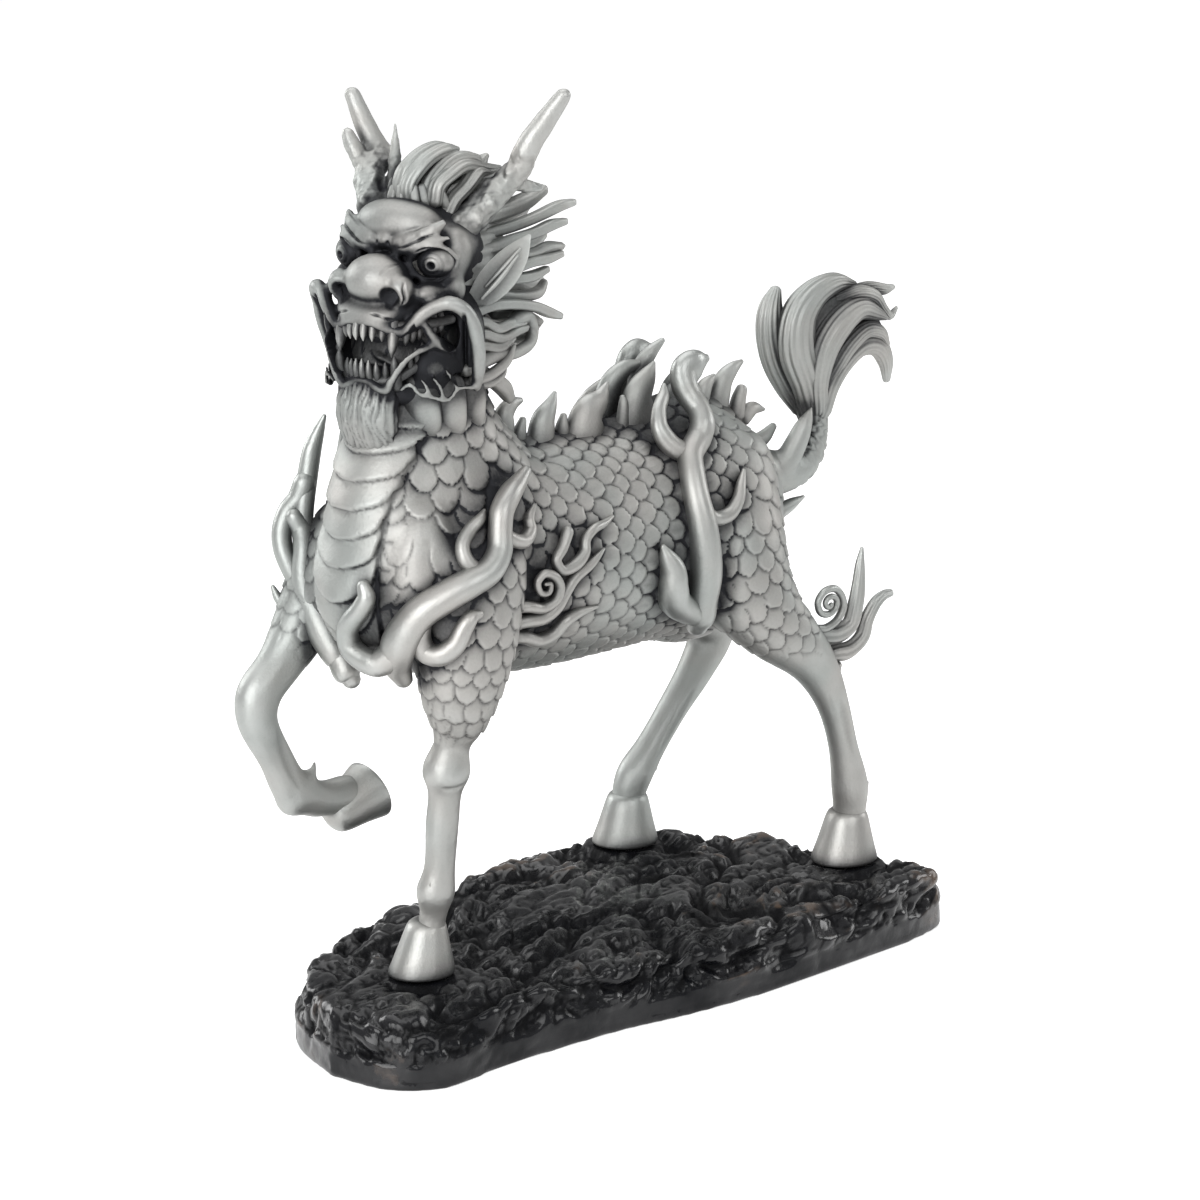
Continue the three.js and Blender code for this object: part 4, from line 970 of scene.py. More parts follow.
MANE_LOCKS = [
    # along each side, from the brow down to the jaw
    [(-17, 9.6, 3.2), (-23.1, 11, 3.6), (-28, 12.2, 4.1), (-34.7, 14, 5.4), (-42.9, 15.5, 7.2),
     (-47, 16.3, 7.5)],
    [(-15, 11.6, 0.6), (-20.1, 13, 0.8), (-25, 14, 1.6), (-32.5, 15.5, 2.4), (-38.2, 16.5, 3.6),
     (-42.6, 17, 3.8)],
    [(-22, 15, -1.4), (-27, 15.8, -1.9), (-31, 16.3, -2), (-35.9, 17, -1.1), (-40.6, 17.5, -1.5)],
    [(-20, 15.4, -3.6), (-25, 16.4, -4), (-29.4, 17, -3.5), (-35.1, 17.5, -3.5), (-39.6, 18, -3.1)],
    [(-14, 14.4, -9.8), (-19, 15.4, -9.6), (-23.6, 15.8, -10.5), (-29.3, 16.4, -11.1), (-33, 16.6, -10.7),
     (-35.1, 16.5, -9.1)],
    [(-9, 15.6, -12), (-14, 16.4, -11.2), (-20.6, 17, -11.7), (-29.5, 17.5, -13.6), (-35.9, 17.5, -16.1),
     (-39.8, 17.5, -17.4)],
    [(-8.6, 15.8, -14), (-12, 16.2, -14.6), (-15.8, 17, -16.6), (-19.8, 17.5, -16.2), (-25.5, 17.5, -16.6)],
    [(-8.6, 15.8, -16.6), (-12, 16.2, -17), (-17.4, 17, -18.8), (-22.3, 17.5, -17.9), (-26.3, 17.5, -17.9)],
    [(-8.6, 15.6, -19.4), (-12, 16, -20), (-16.6, 17, -21), (-21.1, 17.5, -19.4)],
    [(-18, 15, -6.4), (-24, 16.2, -6.6), (-30, 16.8, -6.8), (-35, 17.2, -6)],
    # over the nape
    [(-18, 6.6, 9), (-24, 6.6, 10.4), (-33, 7, 12), (-40, 7.6, 14.2)],
    [(-19, 2, 9.6), (-26, 2, 11), (-34, 2.2, 11.4), (-41, 2.6, 12.6)],
    [(-22, 5, 4.6), (-28, 5.4, 4), (-38, 5.6, 4), (-45, 5.2, 7)],
    [(-22, 9, 7), (-29, 9.4, 7.4), (-36, 10.4, 8.6), (-42, 11.4, 10.6)],
    [(-24, 8.6, -2), (-31, 9.4, -1), (-38, 10, -1.6), (-43, 10.2, 0)],
    [(-24, 5, -6), (-31, 5.2, -7), (-38, 5.4, -7), (-44, 5, -5)],
    [(-24, 10, -9), (-31, 10.6, -9), (-37, 11, -11), (-41, 11, -10)],
    [(-22, 7, -14), (-29, 7.6, -16.4), (-34, 8, -17.6), (-39, 8, -16.6)],
    [(-22, 12, -14), (-28, 12.6, -14.6), (-34, 12.6, -17.6), (-38, 12.6, -19)],
    [(-20, 8, -20), (-25, 8.4, -23), (-31, 8.4, -24), (-35, 8.2, -22.6)],
    [(-20, 13.6, -18), (-26, 14, -19.6), (-31, 14, -20.6), (-34.6, 14, -19.6)],
    [(-14, 12, -26), (-20, 12.4, -29), (-25, 12, -32), (-28, 11.6, -35)],
]


def mane():
    """Wavy locks with rounded tips that stream back from the cheeks and nape over a fine-haired mass."""
    mass = tube([(-12, 0, -4, 15, 15.4), (-22, 0, -4, 13.6, 14), (-30, 0, -4.6, 10, 11), (-36, 0, -5, 5, 6)],
                6,
                section=stranded_section(90, 30, 0.05))
    locks = []
    for n, line in enumerate(MANE_LOCKS):
        size = 1.4 if n < 10 else 2.1
        last = len(line) - 1
        stations = [(*p, size * (0.7 if k == last else 1), size * (0.62 if k == last else 0.9)) for k,
                    p in enumerate(line)]
        locks.append(lock(stations, strands=4, depth=0.13, around=22, phase=wobble(n), steps=6))
    return [moved(mesh, HEAD_PLACE) for mesh in [mass] + both_sides(locks)]


def top_locks():
    """The tuft between the horns, combed up and back, and the short fringe at its root."""
    lines = [
        ([(-6.8, -2, 12.4), (-6.8, -2, 15.4), (-7.4, -1, 18.6), (-11.2, 0, 21.3), (-16.5, 1, 22.3),
          (-19.1, 1.5, 22.6)], 2.1),
        ([(-6, 0.4, 12), (-5.9, 0.4, 15.5), (-8.3, 2, 19.4), (-12.2, 3, 21.5), (-16, 4, 22.2),
          (-18.2, 5, 22.3)], 2),
        ([(-8.4, 3.6, 12), (-9.3, 4, 15.7), (-11.9, 5, 18.5), (-15.7, 6, 20.3), (-19.6, 7, 20.1),
          (-22.1, 8, 19.1), (-23.7, 9, 20.5)], 2),
        ([(-8.4, 5.6, 12), (-9, 6, 15.3), (-11.6, 7, 17.3), (-16.1, 8, 19), (-22, 9, 17.6),
          (-27.2, 10, 17.4)], 2),
        ([(-10.6, 7.6, 9.4), (-12.1, 8, 11.7), (-15.3, 9, 14.3), (-18.5, 10, 17.2), (-21.7, 11, 17.2)], 1.9),
        ([(-10, -3.6, 10), (-11, -3.4, 14.4), (-14.6, -2.4, 18), (-20, -1.2, 19), (-26, 0, 18.4)], 2.4),
        ([(-12, 2, 10), (-15, 2.4, 15), (-20, 3, 17), (-26, 3.6, 16), (-31, 4, 16.6)], 2.6),
        ([(-12, 6, 8), (-17, 6.6, 12), (-23, 7.2, 13.6), (-30, 8, 13), (-34, 8.4, 14)], 2.4),
        ([(-12, -6, 8), (-16, -5.6, 12), (-22, -4.8, 14), (-28, -4, 14), (-33, -3.6, 15.4)], 2.4),
    ]
    fringe = [
        ([(-8.2, 4.6, 14), (-9, 5.2, 10.9), (-9.8, 5.6, 9.6)], 1.2),
        ([(-9.6, 6.6, 13.6), (-10.4, 7.4, 10.8), (-10.8, 8, 9.6)], 1.2),
        ([(-6.2, 1.6, 15), (-5.6, 2.6, 12.2), (-6, 3.2, 10.4)], 1.2),
        ([(-5.6, -1, 15), (-5, -0.6, 12.2), (-5.2, -0.2, 10.2)], 1.2),
        ([(-6.2, -3.4, 14.4), (-5.4, -3.6, 12), (-5.6, -3.6, 10.2)], 1.2),
        ([(-7.4, 3, 15), (-7, 4.2, 12), (-7.4, 4.8, 10)], 1.1),
    ]
    locks = []
    for n, (line, size) in enumerate(lines + fringe):
        last = len(line) - 1
        stations = [(*p, size * (0.36 if k == last else 1), size * (0.3 if k == last else 0.8)) for k,
                    p in enumerate(line)]
        locks.append(lock(stations, strands=8 if n < len(lines) else 4, depth=0.09,
                          around=40 if n < len(lines) else 20, phase=wobble(n)))
    return [moved(mesh, HEAD_PLACE) for mesh in locks]


# Flames, fins and tail

def flame(stations, section=None, share=1.0):
    """A ribbon with round ends. The share makes all its stations thicker."""
    rows = [(x, y, z, wide * share, deep * share) for x, y, z, wide, deep in stations]
    return tube(rows, 8, section=round_section(16) if section is None else section, cap=1.0)


def shoulder_flames():
    near = [
        [(-66.4, -13.6, 73, 1.6, 1.6), (-68.6, -14, 77, 2.6, 2.4), (-69.8, -16.4, 82, 3.2, 2.8),
         (-67.4, -20.4, 89.2, 2.9, 2.6),
         (-62.9, -24, 93, 2.8, 2.5), (-58.1, -26.8, 95.9, 2.6, 2.4), (-53.1, -28, 98.2, 2.3, 2.2),
         (-49.5, -27.3, 101.9, 2.1, 2.1),
         (-48.3, -26.2, 106.2, 2, 2), (-47, -25.4, 110, 2, 2), (-43.6, -24.2, 113, 1.9, 1.9),
         (-39.8, -22.8, 114.8, 1.5, 1.5),
         (-36, -21.4, 116.8, 0.9, 0.9)],
        [(-69.6, -15.6, 80.4, 2.6, 2.4), (-72.2, -11.6, 77.2, 2.4, 2.2), (-73.6, -7.8, 78, 2.1, 2),
         (-74.4, -5, 80.2, 1.9, 1.9),
         (-75.2, -5.2, 84, 1.8, 1.8), (-75.4, -7.4, 87.2, 1.7, 1.7), (-75, -9.6, 89.8, 1.6, 1.6),
         (-74.6, -11, 92.6, 1.5, 1.5), (-74.8, -10.4, 95, 1.1, 1.1)],
        [(-52.4, -27.8, 98.3, 1.5, 1.5), (-55.6, -26.5, 98.3, 1.4, 1.4), (-57.7, -25.2, 100.7, 1.3, 1.3),
         (-57.4, -23.8, 103.8, 1.2, 1.2),
         (-54.4, -23, 106.6, 1.1, 1.1), (-51.6, -23.2, 108.6, 0.9, 0.9), (-49.6, -22.4, 110, 0.4, 0.4)],
        [(-47.6, -26.4, 105, 1.3, 1.3), (-45.2, -26.8, 103.5, 1.3, 1.2), (-41.2, -26.2, 102.4, 1.3, 1.2),
         (-38, -24.8, 104.2, 1.2, 1.1),
         (-37.8, -24.2, 106.4, 1, 0.9), (-34.2, -22.2, 108.6, 0.35, 0.35)],
        [(-67.4, -20.6, 87.4, 1.9, 1.9), (-66.9, -20, 83.2, 1.9, 1.8), (-65.9, -20.9, 80.4, 1.9, 1.8),
         (-64.5, -23.9, 80, 1.8, 1.8),
         (-62.2, -26.4, 82.4, 1.7, 1.7), (-60.6, -27.6, 86.2, 1.5, 1.5), (-58.8, -28.2, 88.5, 1.3, 1.2),
         (-57.2, -28.6, 88.9, 0.8, 0.8)],
    ]
    far = [
        [(-66.6, 20, 97, 1.7, 1.7), (-64.8, 22, 104, 1.7, 1.7), (-62, 23.4, 113, 1.7, 1.7),
         (-60.6, 23.5, 118.1, 1.5, 1.6), (-59.2, 23, 122.2, 1.1, 1.1), (-58.1, 22, 125.8, 0.4, 0.4)],
        [(-63.4, 23, 111, 1.9, 1.9), (-64.6, 24, 107, 1.9, 1.9), (-66.8, 25, 104.4, 1.8, 1.8),
         (-68.7, 25, 100.5, 1.7, 1.7), (-69.3, 24, 96.6, 1.7, 1.7),
         (-69, 22, 92.6, 1.7, 1.7), (-68.4, 20, 89, 1.6, 1.6)],
        [(-67.5, 22, 103.9, 1.4, 1.4), (-66.1, 21, 100.8, 1.8, 1.8), (-67.3, 19, 96.6, 1.8, 1.8),
         (-68.5, 18, 92.4, 1.9, 1.9), (-68.6, 17, 88.3, 2.2, 2.2),
         (-67.8, 15, 84, 2.6, 2.6), (-67, 12, 78.6, 3, 3), (-66.8, 9, 74.4, 2.6, 2.6)],
        [(-66.6, 9.4, 75.6, 2, 2), (-66.2, 7.4, 72.6, 2.4, 2.4), (-66, 5.6, 69.8, 2.3, 2.3),
         (-65.8, 5, 68.8, 1.6, 1.6)],
        [(-67.4, 18, 86.1, 1.1, 1.1), (-68.1, 18, 83.6, 1.1, 1.1), (-68.9, 20, 81.9, 1, 1),
         (-70.1, 22, 83, 0.95, 0.95), (-71.1, 24, 85.3, 0.8, 0.8), (-71.7, 25, 87.6, 0.4, 0.4)],
    ]
    return [flame(stations, share=1.4) for stations in near + far]


def flank_flames():
    curl = flame([(-42.6, -22.4, 86.4, 1.5, 1.5), (-38.7, -24.6, 86.4, 1.4, 1.4),
                  (-34.1, -24.9, 85.3, 1.3, 1.3), (-30.9, -25.6, 86.6, 1.2, 1.2),
                  (-29.7, -25.8, 89.4, 1.2, 1.2), (-31.5, -25.9, 92.4, 1.1, 1.1), (-34.3, -25.5, 93.4, 1, 1),
                  (-36.1, -25.2, 91.6, 0.9, 0.9),
                  (-35, -25.2, 89, 0.8, 0.8), (-32.9, -25.6, 88.9, 0.7, 0.7), (-32.6, -25.8, 90.8, 0.6, 0.6),
                  (-34, -25.7, 91, 0.5, 0.5)])
    top = flame([(-25.6, -24, 101.3, 1.4, 1.4), (-28, -24.8, 98.1, 1.3, 1.3), (-30.2, -25.2, 95.8, 1.2, 1.2),
                 (-28.8, -25.4, 93.3, 1.3, 1.3),
                 (-24.4, -25.3, 93.8, 1.5, 1.5), (-21.1, -24.8, 96, 1.4, 1.4), (-20.1, -24.2, 98.6, 1.2, 1.2),
                 (-17.2, -23.8, 100.5, 1.1, 1.1),
                 (-13, -23, 101.1, 0.9, 0.9), (-9.8, -22.4, 102, 0.35, 0.35)])
    middle = flame([(-43, -21.6, 81.8, 1.6, 1.6), (-38.9, -23.6, 82.8, 1.6, 1.6),
                    (-33.9, -24.4, 82.8, 1.6, 1.6), (-30, -24.8, 84.7, 1.6, 1.6),
                    (-27.7, -25, 87.4, 1.5, 1.5), (-24.6, -25.1, 90.6, 1.4, 1.4),
                    (-19.5, -25, 92.9, 1.2, 1.2), (-17, -25, 94.4, 0.8, 0.8),
                    (-14.8, -24.6, 95.6, 0.35, 0.35)])
    low = flame([(-42, -20, 79, 1.6, 1.6), (-37.9, -22.2, 78.7, 1.6, 1.6), (-32.6, -21.7, 76.7, 1.6, 1.6),
                 (-28.2, -22, 77.6, 1.6, 1.6),
                 (-25.2, -23.2, 80.5, 1.5, 1.5), (-20.8, -23.3, 81.6, 1.1, 1.1),
                 (-15.8, -23.5, 81.9, 0.35, 0.35)])
    return [top] + both_sides([curl, middle, low])


def haunch_flames():
    climbing = flame([
        (19.4, -21, 70.6, 1.8, 1.8), (19.4, -21.8, 72.6, 2.4, 2.3), (18.8, -22.7, 77, 2.7, 2.5),
        (18.6, -24, 83.4, 2.9, 2.6), (17.9, -24.6, 89.7, 2.8, 2.5),
        (17.2, -24.6, 95.8, 2.4, 2.3), (16.8, -23.2, 101.6, 2.1, 2.1), (17.8, -20.6, 107.1, 2, 2),
        (20, -17.8, 111, 2, 2), (24.5, -16.2, 114.2, 2, 2), (26.2, -15.6, 117.2, 1.9, 2),
        (27, -13.4, 120.3, 1.8, 1.9), (26.4, -11, 123.2, 1.9, 2), (26, -9.6, 126, 2, 2.2),
        (27.2, -9, 128.6, 1.8, 2.8), (30, -9.4, 130.2, 1.5, 2.3), (33.6, -9.3, 130.8, 0.6, 0.7)], share=1.55)
    bowl = flame([(20.6, -17.6, 110.6, 1.7, 1.8), (16.3, -15.2, 113.3, 1.8, 2),
                  (14.4, -13.4, 117.3, 1.5, 1.8), (15.8, -11.6, 121.2, 1.2, 1.5), (18.8, -10, 124.1, 1, 1.2),
                  (19.6, -9.4, 126.4, 0.4, 0.4)], share=1.3)
    hook = flame([(17.6, -23.6, 99.6, 1.5, 1.5), (22.4, -23.6, 96.3, 1.5, 1.5), (26.9, -23.9, 96.6, 1.5, 1.5),
                  (30.1, -23.7, 99.4, 1.3, 1.3), (32.3, -22.5, 102.7, 1, 1), (34.5, -21.2, 105.4, 0.4, 0.4)],
                 share=1.2)
    lobe = flame([(19.4, -21.6, 73, 2, 2), (14.2, -22.4, 75.5, 2.3, 2.3), (9.4, -23.4, 78.6, 2.7, 2.4),
                  (7.4, -24.7, 82.8, 2.7, 2.3), (6.8, -25.2, 86.9, 2.3, 2), (5, -25.2, 90.5, 1.4, 1.3),
                  (3.8, -25.2, 92.8, 0.5, 0.5)], share=1.5)
    return both_sides([climbing, bowl, hook, lobe])


def hock_flames():
    """A snail curl and two ridged tongues on the hock."""
    snail = [(57.6, 62.9, 0.9), (60.6, 62.4, 1), (64.4, 63.6, 1), (66.6, 66.4, 1)]
    for n in range(14):
        turn, reach = 0.15 + 0.9 * n, 1 - 0.068 * n
        snail.append((61.2 + 5.0 * reach * math.cos(turn), 68.5 + 4.0 * reach * math.sin(turn),
                      0.95 - 0.025 * n))
    curl = flame([(x, -24.2 - 0.05 * n, z, half, half) for n, (x, z, half) in enumerate(snail)])
    ridged = stranded_section(36, 6, 0.14)
    inner = flame([(59.6, -22.6, 60.5, 1.8, 2.2), (65.3, -23.6, 59.9, 1.7, 2.4), (69.6, -24, 61.6, 1.6, 2.4),
                   (71.3, -24.2, 66.4, 1.5, 2.3),
                   (72.3, -24.2, 71.3, 1.3, 1.9), (72.9, -24, 76.2, 1, 1.2), (73.5, -24, 80.1, 0.4, 0.4)],
                  ridged)
    outer = flame([(64.7, -23, 55, 1.7, 2), (69.8, -23.6, 55, 1.6, 2.2), (74.1, -24, 57.7, 1.5, 2.1),
                   (75.4, -24.2, 61.5, 1.4, 1.9),
                   (78.3, -24.2, 65.1, 1.3, 1.6), (81.4, -24, 66.6, 1.2, 1.3), (84.1, -24, 66.8, 0.9, 1)],
                  ridged)
    knob = flame([(62.6, -23, 49.8, 1.5, 1.6), (64.7, -23.4, 50.4, 1.6, 1.7), (66.4, -23.2, 51.6, 1, 1)])
    return [curl, inner, outer, knob, moved(other_side(outer), Matrix.Translation((10, 1, 0)))]


def fins():
    """Flames down the back: plump leaves with bent tips, and knobs between them."""
    rows = [
        # each leaf's stations from the side (x, z, half width), its place across the back, its thickness
        ([(-26, 119, 3.6), (-25, 122, 3.2), (-24, 125, 2.5), (-21.5, 126.8, 1.7), (-18.6, 127.2, 0.7)], -2,
         2.6),
        ([(-14, 114.6, 4.4), (-13.1, 117.6, 3.8), (-11.9, 121.6, 3.2), (-9.6, 124.6, 1.9),
          (-7.8, 127.4, 0.5)], -2, 3),
        ([(-0.5, 113, 6), (0.5, 117, 5.6), (2.1, 121, 4.6), (6, 123.8, 2.7), (8.8, 127.2, 0.5)], -2.5, 3.6),
        ([(12.6, 116, 4.6), (13.3, 121, 4), (14.4, 125.6, 3.2), (18, 128.6, 2.3), (22.3, 129.6, 0.9)], 4, 3),
        ([(22.4, 117, 3), (22.9, 122.6, 2.6), (23.6, 127.4, 2.3), (26.5, 131.2, 1.9), (30.4, 134, 0.7)], 4,
         2.4),
        ([(16.6, 114, 5.4), (17.2, 118.8, 5), (18, 123.2, 4.2), (21.3, 127, 2.6), (23.9, 130, 0.5)], -3, 3.4),
        ([(33, 118, 3), (34, 122, 2.6), (37, 125, 1.8), (40.4, 126.4, 0.5)], 3, 2.2),
        ([(46.4, 115, 3.8), (47.6, 118.6, 3.3), (49.2, 121.8, 2.7), (52.2, 124.2, 1.8), (55.4, 125.6, 0.6)],
         0, 2.6),
        ([(-20.4, 116, 2.2), (-19.4, 119.6, 1.8), (-18.1, 122.6, 0.9)], -1.6, 1.8),
        ([(-6.2, 115, 2), (-5.8, 119, 1.7), (-5.2, 121.6, 0.8)], -1.6, 1.8),
        ([(11.6, 114, 2.2), (12.4, 118.6, 1.8), (12.9, 122.4, 1.2), (13, 123.4, 0.7)], -3.4, 1.8),
        ([(28, 117, 2.4), (30, 121.4, 2), (33, 124, 0.8)], -1, 2),
        ([(40, 118, 2.6), (42, 121.6, 2), (45, 123.6, 0.7)], -1, 2),
        ([(52.6, 113, 2.4), (53.6, 116.6, 2), (54.8, 119, 1.5)], -1, 2),
        ([(55, 112, 2.3), (58.4, 113.6, 1.8), (62.4, 112.8, 0.5)], -1, 1.9),
        ([(60.6, 104.6, 2), (63.6, 105.6, 1.8), (66.8, 107.8, 0.9)], 0, 1.9),
        ([(68.8, 86.2, 1.9), (72.4, 87.2, 1.6), (77.2, 88.4, 0.4)], -1, 1.7),
    ]
    forms = []
    for stations, y, thick in rows:
        foot = stations[0][2]
        leaf = [(x, y * (1 - 0.12 * n), z, max(thick * (half / foot) ** 0.8, 0.4), half) for n,
                (x, z, half) in enumerate(stations)]
        forms.append(tube(leaf, 7, section=round_section(22), cap=0.8))
    return forms


def tail():
    root = TAIL_ROOT[1:] + [(81.6, 0, 105.4, 3.4, 3.5), (80.9, 0, 111.2, 3.2, 3.3), (78.4, 0, 117, 3.1, 3.3),
                            (76.2, 0, 122, 2.8, 3.2)]
    leaf = [(64.6, -2.6, 97, 2.6, 3), (67.6, -3.6, 99.2, 2.8, 3.4), (70.2, -4.2, 103, 2.6, 3.2),
            (73, -4.5, 107.6, 2, 2.5), (75.8, -4.6, 112, 0.5, 0.6)]
    skin = fused([tube(root, 8, section=round_section(28)), tube(leaf, 7)], 0.7, 3, halve=True)
    # Short hairs on the stem, longer than they are wide, and a smooth leaf beside it
    x, y, z = skin.place.T
    stem = ramp(x, 72, 75) * ramp(y, -4.4, -2.2) * ramp(121 - z, 0, 4)
    turn = np.arctan2(y, np.hypot(x - 68, z - 108) - 13.4)
    along = np.arctan2(z - 108, x - 68) * 13
    hair = np.sin(turn * 7 + 2.6 * np.sin(along * 1.1) + 1.4 * np.sin(along * 2.9 + turn * 2))
    skin.push(stem * (0.26 * hair + 0.16 * uneven(skin.place, 0.6)))
    # Painted shade between the hairs of the stem.
    skin.shade_and_patina = np.maximum(skin.shade_and_patina, stem * np.clip(-hair, 0, 1) ** 2 * 0.8)
    return skin.done()


def tail_tuft():
    """The brush of the tail: broad combed locks that curl over to the right."""
    locks = [
        # the full brush behind, then the swelling lock in front and the one whose round tip stands up
        [(80.4, 0, 109, 3.4, 3.8), (79, -0.4, 117, 4, 5.6), (79.6, -0.8, 126, 4.4, 7.6),
         (83.6, -1, 132.6, 4, 6.4),
         (90, -1, 135.8, 3, 3.6), (96, -1, 136, 1.4, 1.8)],
        [(79.6, -0.5, 111, 3, 3.4), (76, -2, 119, 3.4, 4.8), (72, -2.6, 127.6, 3.8, 5.6),
         (72.4, -2.8, 134.6, 3.6, 5),
         (77.6, -2.8, 139.4, 3, 3.8), (85, -2.8, 141.4, 2.3, 2.6), (92.6, -2.6, 140.2, 0.7, 0.8)],
        [(79, 1.6, 111, 2.4, 3.2), (73.8, 1.8, 118, 3, 4.2), (69.6, 1.8, 125, 3.2, 4.6),
         (67.6, 1.8, 131, 3.2, 4.2),
         (67.4, 1.8, 136.8, 2.8, 3.2), (68.8, 1.6, 141, 1.4, 1.6)],
        [(80, 0.6, 112, 2.6, 3), (78, 1.4, 122, 3, 4.4), (79, 2, 130.6, 3.4, 4.8), (84.6, 2, 137, 3, 4),
         (92.4, 1.6, 139.2, 2.2, 2.6), (98.6, 1.2, 137.6, 0.8, 0.9)],
        [(80, -2, 111, 2.6, 3), (78.4, -3.4, 119, 3, 3.8), (80, -4.6, 127, 3.2, 4.4), (85.2, -5, 132.2, 3, 4),
         (92, -4.8, 134.4, 2.4, 3), (98.6, -4.2, 132.4, 1.7, 2), (103.6, -3.6, 130.4, 0.6, 0.7)],
        [(86, -3, 137.4, 1.4, 1.6), (92, -4.4, 138.4, 1.6, 1.8), (98, -4.4, 136.6, 1.5, 1.7),
         (102, -3.6, 133, 1.3, 1.4),
         (105.6, -3, 130.6, 1, 1.1), (108.2, -2.8, 132.2, 0.4, 0.5)],
        [(92, 0, 137, 1.5, 1.8), (99.6, -0.6, 138, 1.4, 1.7), (105.6, -1, 137, 1.2, 1.4),
         (108.4, -1.2, 137.2, 0.7, 0.7)],
        [(81.6, -1.4, 110, 3, 3.4), (83.6, -2, 116.6, 3.2, 3.8), (88.8, -2.2, 122, 3, 3.8),
         (95.8, -2, 125, 2.8, 3.6),
         (102.4, -1.6, 123.4, 2.4, 2.9), (106.2, -1.2, 118.6, 1.8, 2.1), (107, -1, 113.8, 0.9, 1.1)],
        [(83, -3, 118, 2, 2.6), (88.6, -4.4, 125.4, 2, 2.6), (95, -4.6, 128.6, 1.7, 2.2),
         (101, -4.2, 127, 1.3, 1.6),
         (104.4, -3.6, 123.6, 0.5, 0.6)],
        [(82, 2.4, 117, 2.2, 2.6), (87, 4, 125.4, 2.4, 3.2), (94, 4.4, 130.6, 2.2, 2.8),
         (102, 3.8, 131, 1.6, 2), (107, 3.2, 127.6, 0.6, 0.7)],
        [(79.6, 2.6, 113, 2.2, 2.6), (77, 4, 123, 2.4, 3.4), (79, 4.6, 131, 2.2, 3), (86, 4.4, 136, 1.8, 2.2),
         (94, 3.8, 136.6, 0.6, 0.8)],
        [(90, -1, 129, 2.4, 2.6), (96, -1.6, 130.6, 2.2, 2.6), (101, -1.6, 127.6, 2, 2.4),
         (103, -1.4, 123.4, 1, 1.2)],
    ]
    return [lock(stations, strands=15, depth=0.055, around=75, phase=wobble(n)) for n,
            stations in enumerate(locks)]


# The rock

ROCK_OUTLINE = [
    (-89, -12.6), (-85.4, -28), (-75.4, -36.2), (-57, -35.6), (-39, -36.6), (-21, -38.4), (-3, -42),
    (17.4, -44.2), (39.5, -44.6),
    (59, -44.4), (76, -43.6), (87.6, -40), (87, -31), (80.6, -17), (77, -2), (75.6, 11), (65.4, 22.6),
    (57, 33), (36, 41.6),
    (20, 42.4), (2, 39.6), (-21, 36), (-41, 31.4), (-56.6, 25.4), (-72.6, 17.2), (-83, 6), (-89, -12.6),
]


def rock():
    outline = through([(x, y, 0, 0, 0) for x, y in ROCK_OUTLINE], 10)[:-1, :2]
    reach = np.linalg.norm(outline, axis=1)[:, None]
    profile = [(0.6, 0), (0, 1.2), (0, 4), (0.2, 6.6), (0.9, 7.8), (1.3, 9.6), (1.6, 11.4), (2.2, 13.4),
               (3.2, 14.6)]
    profile += [(4.6 + 2.4 * n, 15.2) for n in range(1, 20)]
    rings = [[(x, y, height) for x, y in outline * np.clip(1 - inset / reach, 0.02, 1)] for inset,
             height in profile]
    skin = Skin(finished_by(lofted(rings), "REMESH", mode="VOXEL", voxel_size=0.78))
    skin.relax(3)
    p = skin.place.copy()
    turn = math.radians(-24)
    along = p[:, 0] * math.cos(turn) - p[:, 1] * math.sin(turn)
    over = p[:, 0] * math.sin(turn) + p[:, 1] * math.cos(turn)
    bend = np.stack([uneven(p, 13), uneven(p, 11, 7.0), uneven(p, 12, 13.0)], 1) * 3.4
    spots = np.stack([along, over, p[:, 2]], 1) + bend

    def breaks(length, width, height, seed):
        """Rounded lumps with sharp creases between them, in shares of their own height."""
        scale = np.array([1 / length, 1 / width, 1 / height])
        return np.array([abs(noise.noise(Vector(q))) for q in spots * scale + seed]) * 2

    large = breaks(30, 15, 13, 3.1)
    middle = breaks(13, 7, 6.5, 9.7)
    small = breaks(5.6, 3.2, 3, 21.3)
    grain = breaks(2.4, 1.5, 1.5, 33.3)
    wide = uneven(p, 22, 4.0)
    crease = np.minimum(np.minimum(large / 0.16, middle / 0.14), small / 0.2)
    rough = ramp(p[:, 2], 5.6, 7.4)
    top = np.clip(skin.out[:, 2], 0, 1)
    lift = 4 * np.minimum(large, 0.8) + 2.2 * np.minimum(middle,
                                                         0.9) + 1.2 * small + 0.4 * grain + 0.9 * wide - 3.6
    lift = np.where(lift > 0.4, 0.4 + 0.45 * (lift - 0.4), lift)
    skin.push(rough * lift * (0.72 + 0.28 * top))
    lower = ramp(p[:, 2], 0.6, 2.5) * (1 - rough)
    skin.push(lower * (0.5 * np.minimum(middle, 0.5) + 0.16 * small + 0.3 * wide - 0.62))
    # Two deep breaks in the front edge towards the right
    for spot, radii, depth in (((45, -43, 12.6), (9, 7, 4.4), 3.4), ((26, -44, 8), (7, 6, 3.2), 2.2)):
        apart = (p - np.array(spot)) / np.array(radii)
        pit = np.clip(1 - (apart ** 2).sum(1), 0, 1)
        skin.push(-depth * pit)
    skin.feel()
    # Flat beds under the hooves
    for x, y, *_, half in STANDING_HOOVES:
        apart = np.hypot(skin.place[:, 0] - x, skin.place[:, 1] - y)
        bed = (1 - ramp(apart, half + 0.2, half + 2.6)) * (p[:, 2] > 9)
        skin.place[:, 2] += (15.8 - skin.place[:, 2]) * bed
    skin.place[:, 2] = np.maximum(skin.place[:, 2], 0) - SOLES_UP
    skin.feel()
    # Painted shade in the creases between the lumps.
    skin.shade_and_patina = np.clip(1 - crease, 0, 1) * rough
    return skin.done()


# Pieces

made = []


